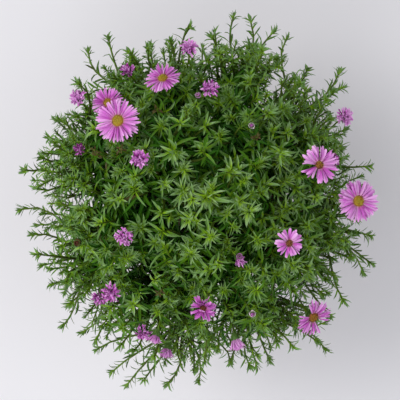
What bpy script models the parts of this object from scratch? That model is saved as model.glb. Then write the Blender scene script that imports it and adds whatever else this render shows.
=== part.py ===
"""Potted dwarf aster: a round cushion of leafy stems with pink daisy heads, in its plastic pot.

Metres, +Z up. The origin is the centre of the pot's underside.
Each stem with its side shoots and leaves is one grown piece, extruded from a single ring.
"""

import math
import random
from typing import NamedTuple

import bmesh
import bpy
from mathutils import Matrix, Quaternion, Vector, noise
from mathutils.bvhtree import BVHTree

SEAT_GAP = 0.0003
SEED = 11

# Pot: outer radii and heights of its turned wall
POT_HEIGHT = 0.100
POT_RIM_RADIUS = 0.060
POT_SHOULDER_RADIUS = 0.0565
POT_BASE_RADIUS = 0.0430
POT_WALL = 0.0013
POT_RIM_DEPTH = 0.014
POT_FOOT_WIDTH = 0.005
POT_PAD_RADIUS = 0.020
POT_CHANNEL_DEPTH = 0.0025
POT_FLOOR = 0.0042
POT_SIDES = 32
DRAIN_COUNT = 6
DRAIN_RADIUS = 0.0045
DRAIN_CIRCLE = 0.0290

# Compost and the woody crown that the stems rise from
COMPOST_TOP = 0.0860
COMPOST_RINGS = 4
COMPOST_SIDES = 24
COMPOST_BUMP = 0.0018
CROWN_RADIUS = 0.0240
CROWN_HEIGHT = 0.0120
CROWN_SIDES = 16
CROWN_RINGS = 4

# Cushion of foliage: an upright half ellipsoid, and the point that its shoots radiate from
DOME_BASE = 0.118
DOME_RADIUS = 0.127
DOME_RISE = 0.120
FOCUS = Vector((0.0, 0.0, 0.055))
CELL_APEX = Vector((0.0, 0.0, 0.095))

# View from above, in pixels of the 400 pixel frame: the scale holds at one height
PHOTO_CENTRE = 200.0
PHOTO_SCALE = 0.00070
PHOTO_PLANE = 0.130
CAMERA_HEIGHT = 0.950

# Stems
STEM_COUNT = 17
STEM_BASE_RADIUS = 0.0017
STEM_TIP_RADIUS = 0.0008
STEM_SIDES = 5
STEM_FOOT = 0.003
SHOOT_RADIUS = 0.00065
LOWER_STATIONS = (0.09, 0.18)
NODE_SHARE = 0.010
WHORL_SHARE = 0.011
SHOOT_FOOT = 0.0032
WHORL_LENGTH = 0.0014
BRANCH_SPAN = (0.26, 0.90)
SHOOT_TRIES = ((0.5, 0.5), (1.0, 0.2), (0.2, 1.1), (1.8, 0.0), (0.0, 0.0), (0.6, 2.0))
FILL_SHOOTS = 56
FILL_REACH = 0.90
SKIRT_SHOOTS = 14
SKIRT_RADIUS = 0.108
SKIRT_HEIGHT = 0.112
EDGE_INSET = 0.007
GOLDEN_ANGLE = math.pi * (3 - math.sqrt(5))
STEM_POLAR = math.radians(84)
STEM_STATIONS = (0.02, 0.1, 0.2, 0.3, 0.4, 0.5, 0.6, 0.7, 0.8, 0.9, 1.0)
STEM_TRIES = ((0.0, 0.96), (0.12, 0.96), (-0.12, 0.96), (0.0, 0.88), (0.2, 0.9), (-0.2, 0.9), (0.0, 0.8))

# Leaves
LEAF_LENGTH = 0.0190
LEAF_WIDTH = 0.0044
LEAF_THICKNESS = 0.0006
LEAF_SPREAD = math.radians(58)
LEAF_TRIES = (
    (0, 1.0, 1.0), (18, 1.0, 0.95), (-18, 1.0, 0.95), (0, 0.7, 0.9), (0, 1.3, 0.9),
    (25, 0.7, 0.8), (-25, 0.7, 0.8), (0, 1.0, 0.6), (20, 0.6, 0.6), (-20, 0.6, 0.6),
)
GUARD = 0.0003
SQUARE = ((-1, -1), (1, -1), (1, 1), (-1, 1))

# Flower heads, as shares of the open head's width
DISC_SHARE = 0.118
CALYX_LENGTH = 0.0058
RAY_COUNT = 16
RAY_THICKNESS = 0.0010
FADED_LENGTH = 0.0105
ROUND_SIDES = 8


class Head(NamedTuple):
    """A flower head: where it shows from above, its width, and how far it stands out of the dome."""

    x: float
    y: float
    width: float
    lift: float


OPEN_HEADS = (
    Head(163, 79, 0.0235, 0.004),
    Head(108, 103, 0.0215, -0.006),
    Head(118, 121, 0.0285, 0.006),
    Head(319, 165, 0.0250, 0.004),
    Head(357, 201, 0.0270, 0.000),
    Head(289, 243, 0.0190, 0.002),
    Head(313, 317, 0.0250, -0.002),
    Head(203, 308, 0.0185, 0.000),
)

FADED_HEADS = (
    Head(139, 158, 0.0110, 0.002),
    Head(123, 237, 0.0115, 0.003),
    Head(77, 97, 0.0125, -0.004),
    Head(189, 47, 0.0125, -0.004),
    Head(210, 88, 0.0105, -0.002),
    Head(127, 70, 0.0100, -0.010),
    Head(79, 149, 0.0095, -0.006),
    Head(346, 116, 0.0115, -0.014),
    Head(110, 293, 0.0120, -0.004),
    Head(98, 299, 0.0095, -0.010),
    Head(143, 334, 0.0100, -0.012),
    Head(155, 340, 0.0090, -0.008),
    Head(167, 354, 0.0110, -0.016),
    Head(236, 345, 0.0120, -0.016),
    Head(240, 264, 0.0085, -0.006),
    Head(333, 160, 0.0100, -0.012),
)

# Shoot tips that make the outline seen from above
EDGE_TIPS = (
    (108, 37), (88, 50), (78, 83), (76, 115), (48, 138), (41, 157), (24, 170), (36, 188),
    (19, 210), (31, 235), (36, 254), (49, 269), (51, 284), (68, 305), (63, 326), (81, 333),
    (96, 350), (111, 373), (127, 385), (144, 380), (166, 385), (198, 382), (204, 363), (230, 363),
    (257, 367), (270, 361), (293, 347), (326, 350), (344, 301), (364, 274), (372, 264), (371, 236),
    (371, 166), (328, 139), (344, 87), (340, 71), (301, 83), (287, 38), (275, 30), (250, 19),
    (234, 15), (212, 36), (190, 27), (170, 40), (148, 47), (129, 52),
)
EDGE_DROPS = (0.000, -0.012, 0.008, -0.022)


def clear_scene():
    """Empties the scene."""
    for obj in list(bpy.data.objects):
        bpy.data.objects.remove(obj)


def finish(name, colour, roughness):
    """A Principled material of one colour."""
    material = bpy.data.materials.new(name)
    material.use_nodes = True
    shader = material.node_tree.nodes["Principled BSDF"]
    shader.inputs["Base Color"].default_value = (*colour, 1.0)
    shader.inputs["Roughness"].default_value = roughness
    shader.inputs["Metallic"].default_value = 0.0
    return material


def make_object(name, bm, material, smooth=True):
    """Turns a bmesh into a named object of the scene."""
    bmesh.ops.recalc_face_normals(bm, faces=bm.faces)
    mesh = bpy.data.meshes.new(name)
    bm.to_mesh(mesh)
    bm.free()
    obj = bpy.data.objects.new(name, mesh)
    bpy.context.scene.collection.objects.link(obj)
    mesh.materials.append(material)
    if smooth:
        mesh.shade_smooth()
        mesh.set_sharp_from_angle(angle=math.radians(40))
    return obj


def turned(profile, sides):
    """A bmesh turned about Z from (radius, height) points, closed where the profile meets the axis."""
    bm = bmesh.new()
    points = [bm.verts.new((radius, 0.0, height)) for radius, height in profile]
    edges = [bm.edges.new(pair) for pair in zip(points, points[1:])]
    bmesh.ops.spin(
        bm,
        geom=points + edges,
        cent=(0, 0, 0),
        axis=(0, 0, 1),
        angle=2 * math.pi,
        steps=sides,
        use_merge=True,
    )
    bmesh.ops.remove_doubles(bm, verts=bm.verts, dist=1e-6)
    return bm


def placed(bm, origin, axis):
    """Moves a bmesh built along +Z so that it stands at origin along axis."""
    turn = Vector((0, 0, 1)).rotation_difference(axis).to_matrix().to_4x4()
    bm.transform(Matrix.Translation(origin) @ turn)
    return bm


def pot_profiles():
    """The pot's outer and inner outlines, each from the axis up to the lip."""
    channel_edge = POT_BASE_RADIUS - POT_FOOT_WIDTH
    shoulder = POT_HEIGHT - POT_RIM_DEPTH
    step_in = 0.0025
    outer = [
        (0.0, 0.0),
        (POT_PAD_RADIUS, 0.0),
        (POT_PAD_RADIUS + 0.001, POT_CHANNEL_DEPTH),
        (channel_edge - 0.001, POT_CHANNEL_DEPTH),
        (channel_edge, 0.0),
        (POT_BASE_RADIUS - 0.001, 0.0),
        (POT_BASE_RADIUS, 0.0012),
        (POT_SHOULDER_RADIUS - step_in, shoulder),
        (POT_SHOULDER_RADIUS + 0.0007, shoulder + 0.001),
        (POT_RIM_RADIUS - 0.0022, POT_HEIGHT - 0.0026),
        (POT_RIM_RADIUS, POT_HEIGHT - 0.0020),
        (POT_RIM_RADIUS, POT_HEIGHT - 0.0004),
        (POT_RIM_RADIUS - 0.0005, POT_HEIGHT),
    ]
    inner = [
        (0.0, POT_FLOOR),
        (POT_BASE_RADIUS - POT_WALL - 0.0006, POT_FLOOR),
        (POT_SHOULDER_RADIUS - step_in - POT_WALL, shoulder + 0.0004),
        (POT_SHOULDER_RADIUS - POT_WALL + 0.0006, shoulder + 0.0022),
        (POT_RIM_RADIUS - 0.0022 - POT_WALL, POT_HEIGHT - 0.0012),
        (POT_RIM_RADIUS - 0.0022 - POT_WALL + 0.0003, POT_HEIGHT),
    ]
    return outer, inner


def make_pot(material):
    """The pot: a tapered wall with a rim band, a foot ring, a centre pad and drain holes."""
    outer, inner = pot_profiles()
    pot = make_object("pot", turned(outer + inner[::-1], POT_SIDES), material)
    drill = bmesh.new()
    for hole in range(DRAIN_COUNT):
        angle = 2 * math.pi * hole / DRAIN_COUNT
        centre = Vector((math.cos(angle), math.sin(angle), 0)) * DRAIN_CIRCLE
        bmesh.ops.create_cone(
            drill,
            cap_ends=True,
            segments=10,
            radius1=DRAIN_RADIUS,
            radius2=DRAIN_RADIUS,
            depth=POT_FLOOR * 4,
            matrix=Matrix.Translation(centre),
        )
    cutter = make_object("drain_cutter", drill, material, smooth=False)
    cutter.hide_render = True
    cutter.display_type = "WIRE"
    cut = pot.modifiers.new("Drain holes", "BOOLEAN")
    cut.operation = "DIFFERENCE"
    cut.solver = "EXACT"
    cut.object = cutter
    return pot


def pot_inner_radius(height):
    """The pot's inner radius at a height, read from its inner outline."""
    _, inner = pot_profiles()
    for (low_radius, low), (high_radius, high) in zip(inner[1:], inner[2:]):
        if low <= height <= high:
            return low_radius + (high_radius - low_radius) * (height - low) / (high - low)
    return inner[1][0]


def make_compost(material):
    """The compost: it fills the pot to just under the rim, with a crumbly top that is level at the crown."""
    bottom = POT_FLOOR + SEAT_GAP
    edge = COMPOST_TOP - COMPOST_BUMP
    rim = pot_inner_radius(edge) - 2 * SEAT_GAP
    profile = [(0.0, bottom), (pot_inner_radius(bottom) - 2 * SEAT_GAP, bottom), (rim, edge)]
    rings = range(COMPOST_RINGS, 0, -1)
    profile += [(rim * (ring - 0.5) / COMPOST_RINGS, COMPOST_TOP) for ring in rings]
    profile.append((0.0, COMPOST_TOP))
    bm = turned(profile, COMPOST_SIDES)
    level = CROWN_RADIUS * 1.15
    for vert in bm.verts:
        reach = vert.co.xy.length
        if vert.co.z > COMPOST_TOP - 0.0001 and reach > level:
            vert.co.z -= COMPOST_BUMP * abs(noise.noise(vert.co * 90.0))
    return make_object("compost", bm, material)


def make_root_crown(material):
    """The woody crown: a low knob that lies on the compost, and carries every stem."""
    base = COMPOST_TOP + SEAT_GAP
    profile = [(0.0, base)]
    for ring in range(CROWN_RINGS + 1):
        polar = math.pi / 2 * (1 - ring / CROWN_RINGS)
        profile.append((CROWN_RADIUS * math.sin(polar), base + CROWN_HEIGHT * math.cos(polar)))
    profile[-1] = (0.0, base + CROWN_HEIGHT)
    return make_object("root_crown", turned(profile, CROWN_SIDES), material)


def crown_seat(azimuth, polar):
    """A point on the crown and the direction that a stem leaves it in."""
    base = COMPOST_TOP + SEAT_GAP
    side, rise = math.sin(polar), math.cos(polar)
    spoke = Vector((math.cos(azimuth), math.sin(azimuth), 0))
    point = spoke * CROWN_RADIUS * side + Vector((0, 0, base + CROWN_HEIGHT * rise))
    away = (spoke * side / CROWN_RADIUS + Vector((0, 0, rise / CROWN_HEIGHT))).normalized()
    return point + away * SEAT_GAP * 1.3, away


def seen_at(x, y, height):
    """The point at a height that shows at a pixel of the view from above."""
    scale = PHOTO_SCALE * (CAMERA_HEIGHT - height) / (CAMERA_HEIGHT - PHOTO_PLANE)
    return Vector(((x - PHOTO_CENTRE) * scale, (PHOTO_CENTRE - y) * scale, height))


def on_dome(x, y, lift):
    """The point of the dome, raised by lift, that shows at a pixel of the view from above."""
    height = DOME_BASE
    for _ in range(8):
        reach = seen_at(x, y, height).xy.length / DOME_RADIUS
        target = DOME_BASE + DOME_RISE * math.sqrt(max(1 - reach * reach, 0.0)) + lift
        height += (target - height) * 0.6
    return seen_at(x, y, height)


def outward(point):
    """The direction that a shoot tip at a point faces."""
    return (point - FOCUS).normalized()


def dome_point(polar, azimuth, stretch):
    """A point of the dome by its angles, moved in or out by a share of its radius."""
    side, rise = math.sin(polar) * stretch, math.cos(polar) * stretch
    return Vector(
        (
            DOME_RADIUS * side * math.cos(azimuth),
            DOME_RADIUS * side * math.sin(azimuth),
            DOME_BASE + DOME_RISE * rise,
        )
    )


def cubic(start, leave, end, arrive):
    """A function of 0 to 1 along a smooth arc that leaves and arrives in the given directions."""
    reach = (end - start).length * 0.38
    first, second = start + leave * reach, end - arrive * reach

    def at(share):
        rest = 1 - share
        return (
            start * rest**3
            + first * 3 * share * rest**2
            + second * 3 * share**2 * rest
            + end * share**3
        )

    return at


def heading(curve, share):
    """The direction of a curve at a share of its length."""
    step = 0.01
    return (curve(min(share + step, 1)) - curve(max(share - step, 0))).normalized()


class Shoot(NamedTuple):
    """A side shoot: its tip, the way the tip faces, and whether it ends in leaves or in a head."""

    tip: Vector
    facing: Vector
    leafy: bool


def head_axis(point):
    """The way that a flower head at a point faces: out of the dome and a little up."""
    return (outward(point) + Vector((0, 0, 0.55))).normalized()


def head_seat(head):
    """Where the stalk of a head ends, and the axis of the head."""
    point = on_dome(head.x, head.y, head.lift)
    axis = head_axis(point)
    return point - axis * (CALYX_LENGTH + 2 * SEAT_GAP), axis


def all_shoots(rng):
    """Every side shoot: under the heads, around the outline, over the dome, and the skirt below it."""
    shoots = []
    for head in OPEN_HEADS + FADED_HEADS:
        seat, axis = head_seat(head)
        shoots.append(Shoot(seat, axis, False))
    for index, (x, y) in enumerate(EDGE_TIPS):
        tip = on_dome(x, y, EDGE_DROPS[index % len(EDGE_DROPS)])
        shoots.append(Shoot(tip - outward(tip) * EDGE_INSET, outward(tip), True))
    for index in range(FILL_SHOOTS):
        polar = math.asin(FILL_REACH * math.sqrt((index + 0.5) / FILL_SHOOTS))
        azimuth = index * GOLDEN_ANGLE + rng.uniform(-0.12, 0.12)
        tip = dome_point(polar, azimuth, rng.uniform(0.93, 1.01))
        shoots.append(Shoot(tip, outward(tip), True))
    for index in range(SKIRT_SHOOTS):
        azimuth = 2 * math.pi * (index + rng.uniform(0.2, 0.8)) / SKIRT_SHOOTS
        spoke = Vector((math.cos(azimuth), math.sin(azimuth), 0)) * SKIRT_RADIUS
        tip = spoke + Vector((0, 0, SKIRT_HEIGHT + rng.uniform(-0.006, 0.006)))
        shoots.append(Shoot(tip, outward(tip), True))
    return shoots


def main_stem_arcs(clearance):
    """The arc of each main stem, from its seat on the crown to its own tip, clear of the heads."""
    arcs = []
    for index in range(STEM_COUNT):
        polar = STEM_POLAR * math.sqrt((index + 0.35) / STEM_COUNT)
        azimuth = index * GOLDEN_ANGLE
        seat, leave = crown_seat(azimuth, polar * 0.72)
        for turn, stretch in STEM_TRIES:
            tip = dome_point(polar, azimuth + turn, stretch)
            arc = cubic(seat, leave, tip, outward(tip))
            tube = Tube.along(arc, STEM_STATIONS, [STEM_BASE_RADIUS] * len(STEM_STATIONS))
            if clearance.free(*tube.guard()):
                break
        arcs.append(arc)
    return arcs


def share_out(shoots, arcs):
    """Gives each shoot to the main stem whose tip lies nearest to it, as seen from the crown."""
    shares = [[] for _ in arcs]
    for shoot in shoots:
        ray = (shoot.tip - CELL_APEX).normalized()
        nearness = [ray.dot((arc(1.0) - CELL_APEX).normalized()) for arc in arcs]
        shares[nearness.index(max(nearness))].append(shoot)
    return shares


class Clearance:
    """Remembers every placed shape, and says whether a new one would touch any of them."""

    def __init__(self):
        self.placed = []

    def add(self, points, faces):
        """Keeps a shape."""
        tree = BVHTree.FromPolygons(points, faces)
        self.placed.append((*self.box(points), tree))

    @staticmethod
    def box(points):
        """The lowest and highest corners of some points."""
        low = [min(point[axis] for point in points) for axis in range(3)]
        high = [max(point[axis] for point in points) for axis in range(3)]
        return low, high

    def free(self, points, faces):
        """Whether a shape would touch nothing that is already there."""
        low, high = self.box(points)
        tree = None
        for other_low, other_high, other in self.placed:
            if any(low[a] > other_high[a] or high[a] < other_low[a] for a in range(3)):
                continue
            tree = tree or BVHTree.FromPolygons(points, faces)
            if tree.overlap(other):
                return False
        return True


def face_directions(face, axis):
    """The direction across a face, the one along it that is nearest to an axis, and its normal."""
    normal = face.normal.copy()
    along = (axis - normal * axis.dot(normal)).normalized()
    return along.cross(normal), along, normal


def corner_signs(face, axis):
    """For each corner of a four-sided face, which side of the middle it is on, across and along."""
    across, along, _ = face_directions(face, axis)
    centre = face.calc_center_median()
    offsets = [vert.co - centre for vert in face.verts]
    return [(math.copysign(1, o.dot(across)), math.copysign(1, o.dot(along))) for o in offsets]


def square_corners(face, axis, centre, radius):
    """The corners of a square at a centre, lined up with the corners of a face."""
    across, along, _ = face_directions(face, axis)
    return [centre + (across * x + along * y) * radius for x, y in corner_signs(face, axis)]


class Tube(NamedTuple):
    """The stations of a shoot along its curve, each a point with its direction and radius."""

    stations: list

    @classmethod
    def along(cls, curve, shares, radii):
        """Stations at some shares of a curve."""
        return cls([(curve(s), heading(curve, s), r) for s, r in zip(shares, radii)])

    def guard(self):
        """A three-sided, slightly thicker stand-in for the tube, clear of its foot, to test for room."""
        points, faces = [], []
        first, second = self.stations[0][0], self.stations[1][0]
        centres = [first.lerp(second, 0.12)] + [station[0] for station in self.stations[1:]]
        for centre, (_, forward, radius) in zip(centres, self.stations):
            across = forward.orthogonal().normalized()
            along = forward.cross(across)
            for corner in range(3):
                angle = 2 * math.pi * corner / 3
                offset = across * math.cos(angle) + along * math.sin(angle)
                points.append(centre + offset * (radius + GUARD))
        for low in range(0, len(points) - 3, 3):
            for corner in range(3):
                after = (corner + 1) % 3
                faces.append((low + corner, low + after, low + 3 + after, low + 3 + corner))
        return points, faces


class Leaf(NamedTuple):
    """The shape of a leaf: its foot, widest place and tip, with its sideways and upper directions."""

    foot: Vector
    middle: Vector
    tip: Vector
    side: Vector
    upper: Vector

    @classmethod
    def aimed(cls, foot, side, out, axis, attempt):
        """A leaf that rises from a shoot's face, turned and shortened as the attempt says."""
        turn_deg, spread, length = attempt
        turn = Quaternion(axis, math.radians(turn_deg))
        side, out = turn @ side, turn @ out
        rise = (out * math.sin(LEAF_SPREAD * spread) + axis * math.cos(LEAF_SPREAD * spread)).normalized()
        middle = foot + rise * length * 0.45
        tip = foot + (rise + out * 0.14 - axis * 0.06) * length
        return cls(foot, middle, tip, side, rise.cross(side).normalized())

    def blade(self, face, axis):
        """The corners of the leaf at its widest place, lined up with those of its face."""
        wide, thick = self.side * LEAF_WIDTH / 2, self.upper * LEAF_THICKNESS / 2
        return [self.middle + wide * x + thick * y for x, y in corner_signs(face, axis)]

    def guard(self):
        """A slightly larger stand-in for the leaf, clear of its foot, to test for room."""
        points = []
        for share, width in ((0.16, 0.4), (0.45, 1.0), (0.8, 0.5)):
            centre = self.foot.lerp(self.tip, share)
            wide = self.side * (LEAF_WIDTH / 2 * width + GUARD)
            thick = self.upper * (LEAF_THICKNESS / 2 + GUARD)
            points += [centre + wide * x + thick * y for x, y in SQUARE]
        points.append(self.tip + (self.tip - self.foot).normalized() * GUARD)
        faces = [(3, 2, 1, 0)]
        for low in (0, 4):
            for corner in range(4):
                after = (corner + 1) % 4
                faces.append((low + corner, low + after, low + 4 + after, low + 4 + corner))
        faces += [(8 + corner, 8 + (corner + 1) % 4, 12) for corner in range(4)]
        return points, faces


class Stem:
    """A main stem, grown as one closed mesh: its side shoots and leaves are extruded from its faces."""

    def __init__(self, arc, shoots):
        self.arc = arc
        self.bm = bmesh.new()
        self.leaf_buds = []
        ray = (arc(1.0) - CELL_APEX).normalized()
        self.shoots = sorted(shoots, key=lambda shoot: ray.dot((shoot.tip - CELL_APEX).normalized()))
        self.tube = self.main_tube()
        self.spans = self.grow_main()

    def main_tube(self):
        """The main stem's stations: a short span for every two side shoots, and one at the tip."""
        pairs = (len(self.shoots) + 1) // 2
        low, high = BRANCH_SPAN
        shares = list(LOWER_STATIONS)
        for pair in range(pairs):
            mark = low + (high - low) * (pair + 0.5) / pairs
            shares += [mark - NODE_SHARE, mark + NODE_SHARE]
        shares += [1.0 - WHORL_SHARE, 1.0]
        taper = STEM_TIP_RADIUS - STEM_BASE_RADIUS
        return Tube.along(self.arc, shares, [STEM_BASE_RADIUS + taper * share for share in shares])

    def extrude(self, face, corners):
        """Extrudes a face and moves its corners. Returns the new end and the side faces."""
        end = bmesh.ops.extrude_discrete_faces(self.bm, faces=[face])["faces"][0]
        for vert, corner in zip(end.verts, corners):
            vert.co = corner
        return end, [loop.link_loop_radial_next.face for loop in end.loops]

    def lengthen(self, end, start, stations):
        """Extrudes an end face from one station through others. Returns each span's side faces."""
        spans = []
        centre, facing, size = start
        for point, direction, radius in stations:
            turn = facing.rotation_difference(direction)
            corners = [point + turn @ (vert.co - centre) * (radius / size) for vert in end.verts]
            end, sides = self.extrude(end, corners)
            spans.append(sides)
            centre, facing, size = point, direction, radius
        self.bm.normal_update()
        return spans

    def grow_main(self):
        """Grows the main stem from a short cylinder. Returns the spans that side shoots leave from."""
        start, forward = self.arc(0.0), heading(self.arc, 0.0)
        turn = forward.to_track_quat("Z", "Y").to_matrix().to_4x4()
        bmesh.ops.create_cone(
            self.bm,
            cap_ends=True,
            segments=STEM_SIDES,
            radius1=STEM_BASE_RADIUS,
            radius2=STEM_BASE_RADIUS,
            depth=STEM_FOOT,
            matrix=Matrix.Translation(start + forward * STEM_FOOT / 2) @ turn,
        )
        self.bm.normal_update()
        end = max(self.bm.faces, key=lambda face: face.normal.dot(forward))
        foot = (start + forward * STEM_FOOT, forward, STEM_BASE_RADIUS)
        spans = self.lengthen(end, foot, self.tube.stations)
        self.leaf_buds += [(face, heading(self.arc, 1.0)) for face in spans[-1]]
        return spans[len(LOWER_STATIONS) + 1 : -2 : 2]

    def paths(self, shoot, faces):
        """Each face and curve by which a shoot could be grown, the straightest first."""
        toward = (shoot.tip - faces[0].calc_center_median()).normalized()
        ranked = sorted(faces, key=lambda face: face.normal.dot(toward), reverse=True)
        for push, forward in SHOOT_TRIES:
            for face in ranked[:3]:
                base = face.calc_center_median()
                leave = (face.normal * push + toward + heading(self.arc, 0.6) * forward).normalized()
                yield face, cubic(base, leave, shoot.tip, shoot.facing)

    def grow_shoot(self, index, clearance):
        """Extrudes a side shoot from a face of its span, if it has room."""
        shoot, faces = self.shoots[index], self.spans[index // 2]
        for face, curve in self.paths(shoot, faces):
            length = (shoot.tip - curve(0.0)).length
            shares = [SHOOT_FOOT / length, 0.34, 0.66, 1.0]
            if shoot.leafy:
                shares.insert(3, 1.0 - WHORL_LENGTH / length)
            tube = Tube.along(curve, shares, [SHOOT_RADIUS] * len(shares))
            if clearance.free(*tube.guard()):
                break
        else:
            return
        faces.remove(face)
        first = tube.stations[0]
        end, _ = self.extrude(face, square_corners(face, heading(self.arc, 0.6), first[0], SHOOT_RADIUS))
        turned_first = (first[0], face_directions(end, first[1])[2], SHOOT_RADIUS)
        spans = self.lengthen(end, turned_first, tube.stations[1:])
        clearance.add(*tube.guard())
        if shoot.leafy:
            self.leaf_buds += [(bud, heading(curve, 1.0)) for bud in spans[-1]]

    def grow_leaf(self, face, axis, length, clearance):
        """Extrudes a pointed leaf from a face, if it has room."""
        across, _, normal = face_directions(face, axis)
        foot = face.calc_center_median()
        for turn_deg, spread, share in LEAF_TRIES:
            leaf = Leaf.aimed(foot, across, normal, axis, (turn_deg, spread, share * length))
            if clearance.free(*leaf.guard()):
                break
        else:
            return
        end, _ = self.extrude(face, leaf.blade(face, axis))
        bmesh.ops.poke(self.bm, faces=[end])["verts"][0].co = leaf.tip
        clearance.add(*leaf.guard())


def calyx_mesh(top_radius, foot_radius):
    """A green cup, from the stalk up to the flat seat of the florets."""
    profile = [
        (0.0, 0.0),
        (foot_radius, 0.0),
        (top_radius * 0.86, CALYX_LENGTH * 0.34),
        (top_radius, CALYX_LENGTH * 0.75),
        (top_radius * 0.96, CALYX_LENGTH),
        (0.0, CALYX_LENGTH),
    ]
    return turned(profile, ROUND_SIDES)


def rays_mesh(width, hole_radius):
    """The ring of ray florets: one dished plate, notched between the tips of the florets."""
    reach, notch = width / 2, 0.62
    profile = [
        (hole_radius, 0.0),
        (reach, reach * 0.16),
        (hole_radius, RAY_THICKNESS),
        (hole_radius, 0.0),
    ]
    bm = turned(profile, 2 * RAY_COUNT)
    for vert in bm.verts:
        step = round(math.atan2(vert.co.y, vert.co.x) * RAY_COUNT / math.pi)
        if step % 2 and vert.co.xy.length > reach * 0.9:
            vert.co.xy *= notch
    return bm


def disc_mesh(radius):
    """The yellow disc: a low button."""
    rise = radius * 0.62
    profile = [
        (0.0, 0.0),
        (radius, 0.0),
        (radius, rise * 0.5),
        (radius * 0.72, rise * 0.92),
        (0.0, rise),
    ]
    return turned(profile, ROUND_SIDES)


def faded_mesh(width):
    """A half-open or spent head: a green cup that flares into a tuft of curled florets."""
    tuft = width / 2
    cup = min(tuft * 0.62, 0.0032)
    profile = [
        (0.0, 0.0),
        (0.0010, 0.0),
        (cup, FADED_LENGTH * 0.22),
        (cup, FADED_LENGTH * 0.45),
        (tuft, FADED_LENGTH * 0.68),
        (tuft * 0.78, FADED_LENGTH * 0.92),
        (0.0, FADED_LENGTH),
    ]
    return turned(profile, ROUND_SIDES)


def keep_clear(clearance, obj):
    """Adds a finished object to what the leaves must miss."""
    mesh = obj.data
    points = [vert.co + vert.normal * GUARD for vert in mesh.vertices]
    clearance.add(points, [tuple(face.vertices) for face in mesh.polygons])


def make_heads(finishes, clearance):
    """Every flower head on its stalk: open ones in three pieces, faded ones in one."""
    for number, head in enumerate(OPEN_HEADS, 1):
        seat, axis = head_seat(head)
        foot = seat + axis * SEAT_GAP
        face = foot + axis * (CALYX_LENGTH + SEAT_GAP)
        disc_radius = head.width * DISC_SHARE
        pieces = (
            ("calyx", calyx_mesh(disc_radius + 0.0009, 0.0010), foot, "bract_green"),
            ("rays", rays_mesh(head.width, disc_radius + SEAT_GAP), face, "ray_pink"),
            ("disc", disc_mesh(disc_radius), face, "disc_yellow"),
        )
        for part, bm, origin, slot in pieces:
            placed(bm, origin, axis)
            obj = make_object(f"flower_{number:02d}_{part}", bm, finishes[slot])
            keep_clear(clearance, obj)
    for number, head in enumerate(FADED_HEADS, 1):
        seat, axis = head_seat(head)
        bm = placed(faded_mesh(head.width), seat + axis * SEAT_GAP, axis)
        obj = make_object(f"faded_head_{number:02d}", bm, finishes["ray_pink"])
        keep_clear(clearance, obj)


def main():
    """Builds the whole plant in its pot."""
    clear_scene()
    rng = random.Random(SEED)
    finishes = {
        "pot_plastic": finish("pot_plastic", (0.30, 0.105, 0.050), 0.55),
        "compost_brown": finish("compost_brown", (0.045, 0.028, 0.018), 0.95),
        "crown_wood": finish("crown_wood", (0.11, 0.075, 0.04), 0.85),
        "leaf_green": finish("leaf_green", (0.085, 0.19, 0.035), 0.55),
        "bract_green": finish("bract_green", (0.10, 0.20, 0.04), 0.60),
        "ray_pink": finish("ray_pink", (0.62, 0.22, 0.60), 0.60),
        "disc_yellow": finish("disc_yellow", (0.62, 0.42, 0.06), 0.75),
    }
    clearance = Clearance()
    keep_clear(clearance, make_pot(finishes["pot_plastic"]))
    make_compost(finishes["compost_brown"])
    make_root_crown(finishes["crown_wood"])
    make_heads(finishes, clearance)

    arcs = main_stem_arcs(clearance)
    stems = [Stem(arc, shoots) for arc, shoots in zip(arcs, share_out(all_shoots(rng), arcs))]
    for stem in stems:
        clearance.add(*stem.tube.guard())
    for leafy in (False, True):
        for stem in stems:
            for index, shoot in enumerate(stem.shoots):
                if shoot.leafy == leafy:
                    stem.grow_shoot(index, clearance)
    for number, stem in enumerate(stems, 1):
        for face, axis in stem.leaf_buds:
            stem.grow_leaf(face, axis, LEAF_LENGTH * rng.uniform(0.8, 1.1), clearance)
        make_object(f"stem_{number:02d}", stem.bm, finishes["leaf_green"])


main()
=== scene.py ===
"""Looks of a potted dwarf aster: a cushion of leafy shoots with pink daisy heads, in a plain pot.

Metres, +Z up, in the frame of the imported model. Each small shape that repeats (leaf, floret, scale, shoot)
is modelled once at unit size, across X, along Y and up Z. It is then copied along a curved centre line of
its own for every place where it grows.
"""

from __future__ import annotations

import logging
import math
from dataclasses import dataclass
from enum import Enum
from functools import cache
from typing import Callable, NamedTuple, Sequence

import bmesh
import bpy
import numpy as np
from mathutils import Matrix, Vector


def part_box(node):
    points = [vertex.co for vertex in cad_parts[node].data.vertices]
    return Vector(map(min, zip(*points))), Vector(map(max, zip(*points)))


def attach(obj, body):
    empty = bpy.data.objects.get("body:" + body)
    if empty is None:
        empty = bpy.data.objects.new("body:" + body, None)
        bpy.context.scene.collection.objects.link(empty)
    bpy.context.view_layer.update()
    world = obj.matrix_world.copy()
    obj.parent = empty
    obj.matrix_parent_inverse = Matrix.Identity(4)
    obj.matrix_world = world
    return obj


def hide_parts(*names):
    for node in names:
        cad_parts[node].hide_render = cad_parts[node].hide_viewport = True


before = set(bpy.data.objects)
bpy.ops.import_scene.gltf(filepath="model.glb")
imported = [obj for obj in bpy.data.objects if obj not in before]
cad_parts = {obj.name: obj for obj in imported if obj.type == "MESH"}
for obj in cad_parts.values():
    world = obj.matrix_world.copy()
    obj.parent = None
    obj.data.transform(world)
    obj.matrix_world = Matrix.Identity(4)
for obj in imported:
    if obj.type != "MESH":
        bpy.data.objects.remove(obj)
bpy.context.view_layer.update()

Array = np.ndarray
Chance = np.random.Generator
Colour = tuple[float, float, float]
Place = tuple[float, float, float]
Outline = tuple[tuple[float, float], ...]
Stops = tuple[tuple[float, Colour], ...]
Socket = bpy.types.NodeSocket
Object = bpy.types.Object

log = logging.getLogger("aster")

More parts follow.
